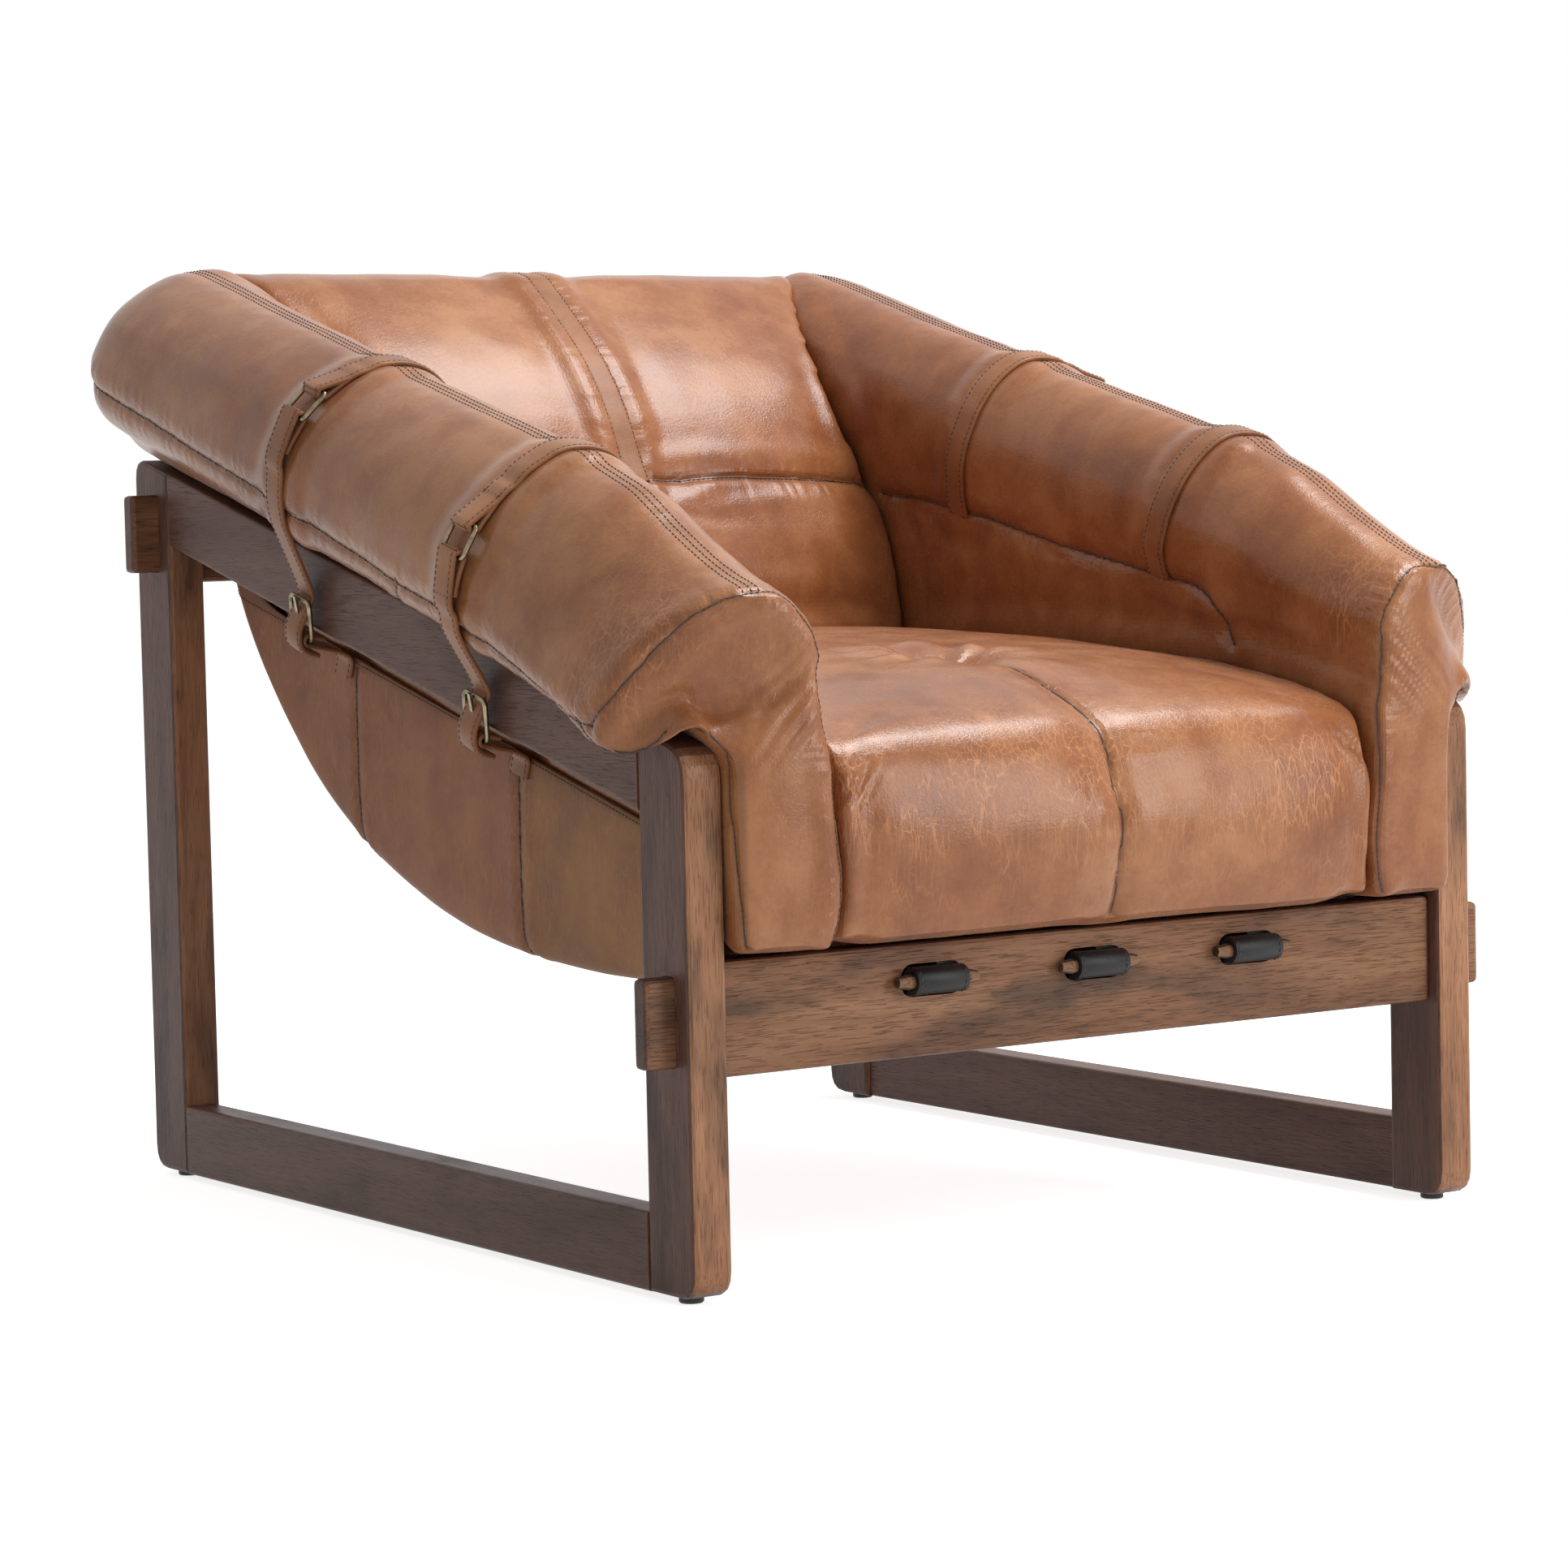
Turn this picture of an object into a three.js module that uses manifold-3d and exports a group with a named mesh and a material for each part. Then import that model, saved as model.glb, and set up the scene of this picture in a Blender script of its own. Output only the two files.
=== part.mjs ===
// Leather sling lounge chair: two slanted wooden side frames, two tenoned cross rails, and a padded leather
// sling that hangs on belts between the rails and folds over the frame, held down by buckled straps.
// Millimetres, +Z up. The sitter faces -Y, so left is +X. The floor is at Z = 0.

import * as THREE from 'three';
import { mergeVertices } from 'three/addons/utils/BufferGeometryUtils.js';
import Module from 'manifold-3d';

// Side frames
const frameDepth = 840;          // front face of the front legs to rear face of the rear legs
const frameWidth = 722;          // over the outer faces of the legs
const legDepth = 60;
const legThickness = 32;
const frontTopHeight = 389;      // slanted top line at the front face
const rearTopHeight = 603;       // slanted top line at the rear face
const topRailDepth = 58;         // square to its slope
const sideRailThickness = 28;
const bottomRailHeight = 57;
const legCornerRadius = 20;
const edgeRadius = 3.5;
const railCornerRadius = 5;
const glideHeight = 5;
const glideDiameter = 18;
const jointGap = 0.3;

// Cross rails with through tenons
const crossRailHeight = 82;
const crossRailThickness = 30;
const crossRailSetback = 26;     // front face of a leg to the middle of its rail
const frontRailBottom = 158;
const rearRailBottom = 497;
const tenonHeight = 64;
const tenonThickness = 17;
const tenonReach = 24;           // stands proud of the leg
const tenonCornerRadius = 5;

// Belts and the dowels that toggle them to the rails
const beltPitch = 146;
const beltWidth = 45;
const beltThickness = 4;
const dowelLength = 70;
const dowelDiameter = 11.5;
const dowelTaper = 9;
const dowelTipDiameter = 8;
const toggleRise = 55.5;         // bottom of a rail to the middle of its slots
const slotWidth = 54;
const slotHeight = 24;
const softGap = 0.4;             // between leather and what it lies on

// Sling cover: the curve that its underside hangs in, and its walls
const coverSideGap = 2;          // to the inner faces of the legs
const coverThickness = 4;
const coverCornerRadius = 22;
const coverRimDrop = 22;         // bound edge below the top rail
const coverRimDepth = 30;        // depth of the walls at the rear end
const bellyFrontGap = 7;         // front end of the curve behind the front rail
const bellyRearGap = 10;         // rear end of the curve in front of the rear rail
const bellyRearFall = 8;         // and below its top
const bellyFrontPull = 381;
const bellyDip = 22;
const bellyRearPull = 124;
const bellyRearDrop = 290;
const coverClearance = 4.8;      // cover's outside to the padding inside it

// Arms: a padded wall inside the frame and a roll over its top rail
const armFrontReach = 27;        // in front of the legs
const armRearReach = 66;         // behind the legs
const armCoverGap = 1;           // wall to the cover's inside
const armWallThickness = 70;
const armWallBulge = 3;
const armSeamDrop = 4.7;         // inner seam below the roll's inner line, at the front end
const armSeamFall = 67.4;        // and how far it falls to the rear end
const armSeamLeast = 6;          // but not this near the top rail
const armSeamBow = 0.8;          // the roll swells a little above the seam
const armInnerBulge = 12;        // roll over the seat, from the wall's inner face
const armFrontInnerBulge = 2;    // the roll narrows at the front
const armInnerHeight = 62;
const armRidgeInset = 10;        // ridge from the wall's outer face
const armRidgeHeight = 157;
const armOverhang = 44;          // roll outside the legs
const armOuterHeight = 70;
const armFrontOuterHeight = 8;   // the roll's shoulder falls at the front
const armLobeInset = 25;         // lowest line of the overhang from its outside
const armFrontLobeInset = 15;
const armHookInset = 35;         // from there the underside turns up to the rail
const armLobeFront = -9;         // bottom of the overhang at the front, from the rail's top
const armLobeRear = 22;
const armFrontDrop = 41;         // ridge falls away towards the front
const armFrontDropLength = 250;
const armShoulderLength = 480;   // over which the shoulder rises behind the front
const armShoulderFlat = 1.2;     // 1 is an ellipse, more is flatter
const armSweepBack = 76;         // outer half of the front end
const armSweepLength = 260;
const armRearRound = 72;
const armFrontEdge = 3;          // rounding of the front end panel
const armStrapDent = 2.5;
const armFloorReach = 45;        // spacing of the sections that the wall's foot has to clear between
const armFirstStation = 30;      // sections behind the front end
const armEvenStation = 57;
const armDentReach = 26;         // the padding is drawn in beside a strap
const armStationGap = 20;

// Back and seat cushions
const backFootInset = 265;       // these lines in front of the rear face of the rear legs
const backSeamInset = 215;
const backRidgeInset = 28;
const backRearReach = 57;        // and behind it
const backSeamFall = 32;         // heights from the rear end of the top line
const backRidgeRise = 158;
const backRearRise = 73;
const backLobeFall = 3;
const backCrown = 9;
const backChannel = 8;
const backSeamSpread = 24;
const backMiddleSpread = 34;
const backFootRound = 3;
const backFootReach = 25;        // the underside ends behind the foot
const seatFrontReach = 30;       // in front of the legs
const seatFrontHeight = 392;
const seatRearHeight = 444;
const seatCrown = 8;
const seatChannel = 7;
const seatChannelSpread = 20;
const seatTuftReach = 224;       // behind the seat's front
const seatTuftDepth = 16;
const seatTuftSpread = 45;
const seatSewnSpread = 40;
const seatLipRound = 8;
const seatNoseRound = 14;
const seatNoseDepth = 46;
const seatNoseRise = 11;
const seatRearRound = 22;
const seatRearDrop = 14;
const seatRearLift = 12;
const cushionGap = 1.5;
const cushionEdge = 7;           // how far the end panels draw in

// Straps
const strapWidth = 25;
const strapThickness = 3.5;
const strapGap = 1.5;            // to the padding
const armStrapFront = -173;      // along the top rail
const armStrapRear = 103;
const ringPitch = 26;            // between the bars of a ring
const ringBar = 4;
const eyeClearance = 0.7;
const frontRingPlace = 0.76;     // share of the way from the ridge to the widest point
const rearRingPlace = 0.6;
const backRingPlace = 0.5;
const foldLength = 26;
const foldStart = 6;             // the folded end lies down beside the bar
const buckleEntry = 8;           // the lower strap straightens above the buckle
const buckleExit = 2;            // and turns out again below its free bar
const buckleLength = 32.5;       // between the bars of a buckle
const buckleLean = 6;
const buckleRise = 24;           // free bar above the bottom of the rail
const armBuckleStandoff = 13;
const backBuckleStandoff = 27;   // clears the toggle on the rear rail
const prongThickness = 2.4;
const prongWidth = 4;
const prongSlotWidth = 5.2;
const tabThickness = 3;
const tabRootLength = 14;
const tabRootDrop = 4;           // below the cover's rim
const tabRootTurn = [10, 7];
const tabFold = [14, -2.6, 5.2]; // length of the fold, and where its two leaves lie
const tabSlit = [26, 24, 4];
const strapStep = 14;
const strapTail = 10;
const backTabPlaces = [0.84, 0.87, 0.9]; // shares of the belly where the back's tab is sewn on

const wasm = await Module();
wasm.setup();

// Finishes
function finish(color, roughness, metalness = 0) {
  return new THREE.MeshStandardMaterial({ color, roughness, metalness });
}
const walnut = finish(0x4c3a30, 0.55);
const palerWalnut = finish(0x6b4b33, 0.5);
const tanLeather = finish(0x9a5a36, 0.45);
const underLeather = finish(0x7a4d38, 0.55);
const strapLeather = finish(0x7d5138, 0.5);
const blackLeather = finish(0x241f1e, 0.6);
const dowelWood = finish(0x8a6243, 0.6);
const antiqueBrass = finish(0x8f7d55, 0.35, 1);
const darkGlide = finish(0x2f2a28, 0.7);

// Closed solids: merged corners, no empty triangles, faces outwards
function closed(geometry) {
  const bare = new THREE.BufferGeometry();
  bare.setAttribute('position', geometry.getAttribute('position').clone());
  if (geometry.index) bare.setIndex(geometry.index.clone());
  const merged = mergeVertices(bare, 1e-4);
  const position = merged.getAttribute('position');
  const corner = [new THREE.Vector3(), new THREE.Vector3(), new THREE.Vector3()];
  const kept = [];
  let volume = 0;
  for (let i = 0; i < merged.index.count; i += 3) {
    const face = [0, 1, 2].map((k) => merged.index.getX(i + k));
    if (new Set(face).size < 3) continue;
    corner.forEach((point, k) => point.fromBufferAttribute(position, face[k]));
    volume += corner[0].dot(corner[1].clone().cross(corner[2]));
    kept.push(face);
  }
  merged.setIndex(kept.flatMap((face) => (volume < 0 ? face.reverse() : face)));
  merged.computeVertexNormals();
  return merged;
}

function toSolid(geometry) {
  const clean = closed(geometry);
  const vertProperties = new Float32Array(clean.getAttribute('position').array);
  const triVerts = new Uint32Array(clean.index.array);
  return new wasm.Manifold(new wasm.Mesh({ numProp: 3, vertProperties, triVerts }));
}

function toGeometry(solid) {
  const { vertProperties, triVerts } = solid.getMesh();
  const geometry = new THREE.BufferGeometry();
  geometry.setAttribute('position', new THREE.BufferAttribute(new Float32Array(vertProperties), 3));
  geometry.setIndex(Array.from(triVerts));
  return geometry;
}

function cut(geometry, ...tools) {
  return toGeometry(tools.reduce((solid, tool) => solid.subtract(toSolid(tool)), toSolid(geometry)));
}

function join(geometry, ...others) {
  return toGeometry(others.reduce((solid, other) => solid.add(toSolid(other)), toSolid(geometry)));
}

function piece(name, geometry, material, parent) {
  const mesh = new THREE.Mesh(closed(geometry), material);
  mesh.name = name;
  parent.add(mesh);
  return mesh;
}

// Outlines and extrusions. A profile is drawn in two axes and extruded, centred, along the third.
const axisX = new THREE.Vector3(1, 0, 0);
const axisY = new THREE.Vector3(0, 1, 0);
const axisZ = new THREE.Vector3(0, 0, 1);
const alongX = new THREE.Matrix4().makeBasis(axisY, axisZ, axisX);
const alongY = new THREE.Matrix4().makeBasis(axisX, axisZ, axisY.clone().negate());

function roundedOutline(corners) {
  const shape = new THREE.Shape();
  corners.forEach(([x, y, radius], i) => {
    const here = new THREE.Vector2(x, y);
    const before = new THREE.Vector2(...corners.at(i - 1).slice(0, 2));
    const after = new THREE.Vector2(...corners[(i + 1) % corners.length].slice(0, 2));
    const start = here.clone().add(before.sub(here).setLength(radius));
    const end = here.clone().add(after.sub(here).setLength(radius));
    if (i === 0) shape.moveTo(start.x, start.y);
    else shape.lineTo(start.x, start.y);
    if (radius > 0) shape.quadraticCurveTo(x, y, end.x, end.y);
  });
  shape.closePath();
  return shape;
}

function roundedRectangle(width, height, radius) {
  const [x, y] = [width / 2, height / 2];
  return roundedOutline([[-x, -y, radius], [x, -y, radius], [x, y, radius], [-x, y, radius]]);
}

function extruded(shape, length, edge = 0, steps = 2) {
  const geometry = new THREE.ExtrudeGeometry(shape, {
    depth: length - 2 * edge,
    bevelEnabled: edge > 0,
    bevelThickness: edge,
    bevelSize: edge,
    bevelOffset: -edge,
    bevelSegments: steps,
    curveSegments: 2 + steps,
  });
  return geometry.translate(0, 0, edge - length / 2);
}

function ribbon(points, thickness) {
  const side = (sign) => points.map((point, i) => {
    const before = points[Math.max(i - 1, 0)];
    const after = points[Math.min(i + 1, points.length - 1)];
    const along = after.clone().sub(before).normalize();
    return new THREE.Vector2(-along.y, along.x).multiplyScalar(sign * thickness / 2).add(point);
  });
  return new THREE.Shape([...side(1), ...side(-1).reverse()]);
}

// A skin through rings of points, closed at both ends
function loft(rings, flat) {
  const count = rings[0].length;
  const vertices = rings.flat().flatMap((point) => point.toArray());
  const faces = [];
  for (let r = 0; r + 1 < rings.length; r += 1) {
    for (let i = 0; i < count; i += 1) {
      const [a, b] = [r * count + i, r * count + ((i + 1) % count)];
      faces.push([a, b, b + count], [a, b + count, a + count]);
    }
  }
  [0, rings.length - 1].forEach((r) => {
    const contour = rings[r].map(flat);
    const wanted = Math.sign(THREE.ShapeUtils.area(contour)) * (r === 0 ? -1 : 1);
    THREE.ShapeUtils.triangulateShape(contour, []).forEach((face) => {
      const turn = Math.sign(THREE.ShapeUtils.area(face.map((i) => contour[i])));
      const ordered = turn === wanted ? face : face.slice().reverse();
      faces.push(ordered.map((i) => r * count + i));
    });
  });
  const geometry = new THREE.BufferGeometry();
  geometry.setAttribute('position', new THREE.Float32BufferAttribute(vertices, 3));
  geometry.setIndex(faces.flat());
  return geometry;
}

function inset(points, distance) {
  const turn = Math.sign(THREE.ShapeUtils.area(points));
  return points.map((point, i) => {
    const before = points.at(i - 1);
    const after = points[(i + 1) % points.length];
    const along = after.clone().sub(before).normalize();
    return new THREE.Vector2(-along.y, along.x).multiplyScalar(turn * distance).add(point);
  });
}

const mix = THREE.MathUtils.lerp;
const ease = (value) => THREE.MathUtils.smoothstep(value, 0, 1);
const bump = (distance, spread) => Math.exp(-((distance / spread) ** 2));

// Lines that several pieces share
const topSlope = (rearTopHeight - frontTopHeight) / frameDepth;
const topAngle = Math.atan(topSlope);
const topRailDrop = topRailDepth / Math.cos(topAngle);
const topLine = (y) => frontTopHeight + (y + frameDepth / 2) * topSlope;
const legFrontY = -frameDepth / 2;
const legRearY = frameDepth / 2;
const frontRailY = legFrontY + crossRailSetback;
const rearRailY = legRearY - legDepth + crossRailSetback;
const frontRailTop = frontRailBottom + crossRailHeight;
const rearRailTop = rearRailBottom + crossRailHeight;
const frontToggleZ = frontRailBottom + toggleRise;
const rearToggleZ = rearRailBottom + toggleRise;
const beltXs = [-beltPitch, 0, beltPitch];
const legOuterHalf = frameWidth / 2;
const legInnerHalf = legOuterHalf - legThickness;
const coverHalfWidth = legInnerHalf - coverSideGap;
const armWallOuter = coverHalfWidth - coverThickness - armCoverGap;
const armFrontWallOuter = legInnerHalf - cushionGap;
const armWallInner = armWallOuter - armWallThickness;
const armInnerHalf = armWallInner - armInnerBulge;
const armFrontInnerHalf = armWallInner - armFrontInnerBulge;
const armRidgeHalf = armWallOuter - armRidgeInset;
const armOuterHalf = legOuterHalf + armOverhang;
const backFootY = legRearY - backFootInset;
const backSeamY = legRearY - backSeamInset;
const backRidgeY = legRearY - backRidgeInset;
const backRearY = legRearY + backRearReach;
const backSeamHeight = rearTopHeight - backSeamFall;
const backRidgeHeight = rearTopHeight + backRidgeRise;
const backRearHeight = rearTopHeight + backRearRise;
const backLobeHeight = rearTopHeight - backLobeFall;
const seatFrontY = legFrontY - seatFrontReach;
const seatTuftY = seatFrontY + seatTuftReach;

const chair = new THREE.Group();

// Side frames: a leg at each end, a bottom rail, and a slanted top rail flush with the outer faces
function legOutline(frontY, cornersFront) {
  const rearY = frontY + legDepth;
  const [front, rear] = cornersFront ? [legCornerRadius, 0] : [0, legCornerRadius];
  return roundedOutline([
    [frontY, glideHeight, front],
    [rearY, glideHeight, rear],
    [rearY, topLine(rearY), rear],
    [frontY, topLine(frontY), front],
  ]);
}

function mortise(railY, railBottom) {
  const grow = 2 * jointGap;
  const outline = roundedRectangle(tenonThickness + grow, tenonHeight + grow, tenonCornerRadius);
  const tool = extruded(outline, 2 * frameWidth).applyMatrix4(alongX);
  return tool.translate(0, railY, railBottom + crossRailHeight / 2);
}

function sideFrame(hand, side) {
  const legX = side * (frameWidth - legThickness) / 2;
  const railX = side * (frameWidth - sideRailThickness) / 2;
  const frontLeg = extruded(legOutline(legFrontY, true), legThickness, edgeRadius).applyMatrix4(alongX);
  const rearLeg = extruded(legOutline(legRearY - legDepth, false), legThickness, edgeRadius);
  rearLeg.applyMatrix4(alongX);
  frontLeg.translate(legX, 0, 0);
  rearLeg.translate(legX, 0, 0);
  piece(`${hand}_front_leg`, cut(frontLeg, mortise(frontRailY, frontRailBottom)), walnut, chair);
  piece(`${hand}_rear_leg`, cut(rearLeg, mortise(rearRailY, rearRailBottom)), walnut, chair);

  const railLength = frameDepth - 2 * legDepth - 2 * jointGap;
  const bottomSection = roundedRectangle(sideRailThickness, bottomRailHeight, edgeRadius);
  const bottomRail = extruded(bottomSection, railLength).applyMatrix4(alongY);
  bottomRail.translate(railX, 0, glideHeight + bottomRailHeight / 2);
  piece(`${hand}_bottom_rail`, bottomRail, walnut, chair);

  const topSection = roundedRectangle(sideRailThickness, topRailDepth, edgeRadius);
  const topRail = extruded(topSection, 2 * frameDepth).applyMatrix4(alongY);
  topRail.translate(0, 0, -topRailDepth / 2).rotateX(topAngle).translate(railX, 0, topLine(0));
  const between = new THREE.BoxGeometry(2 * frameWidth, railLength, 4 * frameDepth);
  const trimmed = toGeometry(toSolid(topRail).intersect(toSolid(between)));
  piece(`${hand}_top_rail`, trimmed, walnut, chair);

  [['front', legFrontY + legDepth / 2], ['rear', legRearY - legDepth / 2]].forEach(([end, y]) => {
    const radius = glideDiameter / 2;
    const profile = [[0, 0], [radius - 1, 0], [radius, 1], [radius, glideHeight - jointGap]];
    profile.push([0, glideHeight - jointGap]);
    const glide = new THREE.LatheGeometry(profile.map((point) => new THREE.Vector2(...point)), 20);
    piece(`${hand}_${end}_glide`, glide.rotateX(Math.PI / 2), darkGlide, chair).position.set(legX, y, 0);
  });
}

sideFrame('left', 1);
sideFrame('right', -1);

// Cross rails: shouldered between the legs, their tenons run through, with three slots for the belts
function crossRail(name, railY, railBottom, material) {
  const bodyLength = frameWidth - 2 * legThickness - 2 * jointGap;
  const bodyOutline = roundedRectangle(bodyLength, crossRailHeight, railCornerRadius);
  const body = extruded(bodyOutline, crossRailThickness, edgeRadius);
  const tenonOutline = roundedRectangle(tenonThickness, tenonHeight, tenonCornerRadius);
  const tenons = extruded(tenonOutline, frameWidth + 2 * tenonReach, edgeRadius).applyMatrix4(alongX);
  const slots = beltXs.map((x) => {
    const opening = roundedRectangle(slotWidth, slotHeight, 0.45 * slotHeight);
    const slot = extruded(opening, 2 * crossRailThickness);
    return slot.applyMatrix4(alongY).translate(x, 0, toggleRise - crossRailHeight / 2);
  });
  const rail = cut(join(body.applyMatrix4(alongY), tenons), ...slots);
  piece(name, rail, material, chair).position.set(0, railY, railBottom + crossRailHeight / 2);
}

crossRail('front_rail', frontRailY, frontRailBottom, palerWalnut);
crossRail('rear_rail', rearRailY, rearRailBottom, walnut);

// The curve that the sling hangs in, seen from the side as (y, z)
const bellyFront = new THREE.Vector2(
  frontRailY + crossRailThickness / 2 + bellyFrontGap,
  frontToggleZ + beltThickness / 2 + softGap,
);
const bellyRear = new THREE.Vector2(
  rearRailY - crossRailThickness / 2 - bellyRearGap,
  rearRailTop - bellyRearFall,
);
const belly = new THREE.CubicBezierCurve(
  bellyFront,
  bellyFront.clone().add(new THREE.Vector2(bellyFrontPull, -bellyDip)),
  bellyRear.clone().sub(new THREE.Vector2(bellyRearPull, bellyRearDrop)),
  bellyRear,
);
const bellySamples = belly.getPoints(80);

function bellyHeight(y) {
  const after = bellySamples.findIndex((point) => point.x >= y);
  if (after < 1) return y < bellyFront.x ? bellyFront.y : bellyRear.y;
  const [low, high] = [bellySamples[after - 1], bellySamples[after]];
  return mix(low.y, high.y, (y - low.x) / (high.x - low.x));
}

function bellyOffset(share, distance) {
  const along = belly.getTangent(share);
  return belly.getPoint(share).add(new THREE.Vector2(along.y, -along.x).multiplyScalar(distance));
}

// Lowest height at which padding can lie: over the front rail, in the cover, over the rear rail
function paddingFloor(y) {
  if (y < bellyFront.x - coverClearance) return frontRailTop + 2 * cushionGap;
  if (y > bellyRear.x - coverClearance) return rearRailTop + 2 * cushionGap;
  return bellyHeight(y + coverClearance) + coverClearance;
}

// Sling cover: a leather trough whose walls rise beside the cushions to a bound rim below the top rails
function slingCover() {
  const rimLine = (y) => topLine(y) - topRailDrop - coverRimDrop;
  const lineEnd = 0.8;
  const rimBend = new THREE.Vector2(bellyRear.x - 3 * coverRimDepth, 0);
  rimBend.y = rimLine(rimBend.x);
  const rimRear = new THREE.Vector2(bellyRear.x - coverRimDepth, bellyRear.y);
  const rim = (share) => {
    if (share > lineEnd) return rimBend.clone().lerp(rimRear, (share - lineEnd) / (1 - lineEnd));
    const y = mix(bellyFront.x, rimBend.x, share / lineEnd);
    return new THREE.Vector2(y, rimLine(y));
  };
  const wallPath = (halfWidth, radius, floor, height) => {
    const path = [[halfWidth, height], [halfWidth, mix(height, floor + radius, 0.5)]];
    for (let k = 0; k <= 3; k += 1) {
      const angle = (k / 3) * Math.PI / 2;
      path.push([halfWidth - radius * (1 - Math.cos(angle)), floor + radius * (1 - Math.sin(angle))]);
    }
    path.push([halfWidth / 3, floor]);
    return path;
  };
  const mirrored = (path) => [...path, ...path.map(([x, h]) => [-x, h]).reverse()];
  const rings = [];
  const stations = 18;
  for (let i = 0; i <= stations; i += 1) {
    const foot = belly.getPoint(i / stations);
    const up = rim(i / stations).sub(foot);
    const height = up.length();
    const radius = coverCornerRadius;
    const outer = mirrored(wallPath(coverHalfWidth, radius, 0, height));
    const inner = mirrored(wallPath(
      coverHalfWidth - coverThickness,
      radius - coverThickness,
      coverThickness,
      height,
    ));
    up.normalize();
    rings.push([...outer, ...inner.reverse()].map(
      ([x, h]) => new THREE.Vector3(x, foot.x + up.x * h, foot.y + up.y * h),
    ));
  }
  const middle = mix(bellyFront.x, bellyRear.x, 0.5);
  return loft(rings, (point) => {
    const end = point.y < middle ? bellyFront : bellyRear;
    return new THREE.Vector2(point.x, Math.hypot(point.y - end.x, point.z - end.y));
  });
}

piece('sling_cover', slingCover(), underLeather, chair);

// Belts: each hangs under the cover and ends in a loop round a dowel at either rail
const toggleDepth = crossRailThickness / 2 + dowelDiameter / 2 + jointGap;
const frontToggle = new THREE.Vector2(frontRailY - toggleDepth, frontToggleZ);
const rearToggle = new THREE.Vector2(rearRailY + toggleDepth, rearToggleZ);
const beltOffset = beltThickness / 2 + 3 * softGap;
const beltLeaves = 0.93;         // share of the curve where a belt turns into its rear slot

function beltPath() {
  const loopMiddle = dowelDiameter / 2 + jointGap + beltThickness / 2;
  const points = [frontToggle.clone().add(new THREE.Vector2(loopMiddle, 0))];
  const steps = 12;
  for (let k = 0; k < steps; k += 1) points.push(bellyOffset(mix(0.02, beltLeaves, k / steps), beltOffset));
  const leave = bellyOffset(beltLeaves, beltOffset);
  const rise = rearToggleZ - leave.y;
  points.push(leave, new THREE.Vector2(leave.x + 0.75 * rise, rearToggleZ - 0.18 * rise));
  points.push(new THREE.Vector2(rearRailY, rearToggleZ));
  points.push(rearToggle.clone().sub(new THREE.Vector2(loopMiddle, 0)));
  return new THREE.SplineCurve(points).getPoints(28);
}

function loopAround(centre) {
  const shape = new THREE.Shape();
  shape.absarc(centre.x, centre.y, dowelDiameter / 2 + jointGap + beltThickness, 0, 2 * Math.PI);
  const bore = new THREE.Path();
  bore.absarc(centre.x, centre.y, dowelDiameter / 2 + jointGap, 0, 2 * Math.PI, true);
  shape.holes.push(bore);
  return new THREE.ExtrudeGeometry(shape, { depth: beltWidth, bevelEnabled: false, curveSegments: 10 })
    .translate(0, 0, -beltWidth / 2)
    .applyMatrix4(alongX);
}

const beltStrip = extruded(ribbon(beltPath(), beltThickness), beltWidth).applyMatrix4(alongX);
const belt = join(beltStrip, loopAround(frontToggle), loopAround(rearToggle));

function dowel() {
  const [half, radius, tip] = [dowelLength / 2, dowelDiameter / 2, dowelTipDiameter / 2];
  const profile = [[0, -half], [tip, -half], [radius, dowelTaper - half], [radius, half - dowelTaper]];
  profile.push([tip, half], [0, half]);
  const turned = new THREE.LatheGeometry(profile.map((point) => new THREE.Vector2(...point)), 16);
  return turned.rotateZ(-Math.PI / 2);
}

['right', 'middle', 'left'].forEach((hand, i) => {
  piece(`${hand}_belt`, belt, blackLeather, chair).position.x = beltXs[i];
  const front = piece(`${hand}_front_dowel`, dowel(), dowelWood, chair);
  front.position.set(beltXs[i], frontToggle.x, frontToggle.y);
  const rear = piece(`${hand}_rear_dowel`, dowel(), dowelWood, chair);
  rear.position.set(beltXs[i], rearToggle.x, rearToggle.y);
});

// Arms are drawn along the slanted top rails: s runs up the rail, n stands square to it
const slanted = new THREE.Group();
slanted.position.z = topLine(0);
slanted.rotation.x = topAngle;
chair.add(slanted);

const armFront = (legFrontY - armFrontReach) / Math.cos(topAngle);
const armRear = (legRearY + armRearReach) / Math.cos(topAngle);
const slantY = (s, n) => s * Math.cos(topAngle) - n * Math.sin(topAngle);
const slantZ = (s, n) => topLine(0) + s * Math.sin(topAngle) + n * Math.cos(topAngle);

const armShare = (s) => THREE.MathUtils.clamp((s - armFront) / (armRear - armFront), 0, 1);
const armSeam = (s) => Math.max(armSeamLeast, armInnerHeight - armSeamDrop - armSeamFall * armShare(s));

// Inner face of an arm at a height n, which the seat and the back fit between
function armInnerFace(s, n) {
  if (n >= armRidgeHeight) return armRidgeHalf;
  if (n >= armInnerHeight) {
    const climb = (n - armInnerHeight) / (armRidgeHeight - armInnerHeight);
    return armRidgeHalf - (armRidgeHalf - armInnerHalf) * Math.sqrt(1 - climb ** 2);
  }
  const share = (n - armSeam(s)) / (armInnerHeight - armSeam(s));
  return mix(armWallInner, armInnerHalf, THREE.MathUtils.clamp(share, 0, 1));
}

// At the front the end panel stands upright, and its outer half is swept back
function armAlong(s, x, n) {
  const share = 1 - ease((s - armFront) / armSweepLength);
  const outside = Math.max(0, (x - armRidgeHalf) / (armOuterHalf - armRidgeHalf));
  return s + share * (n * Math.tan(topAngle) + armSweepBack * outside ** 2);
}

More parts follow.
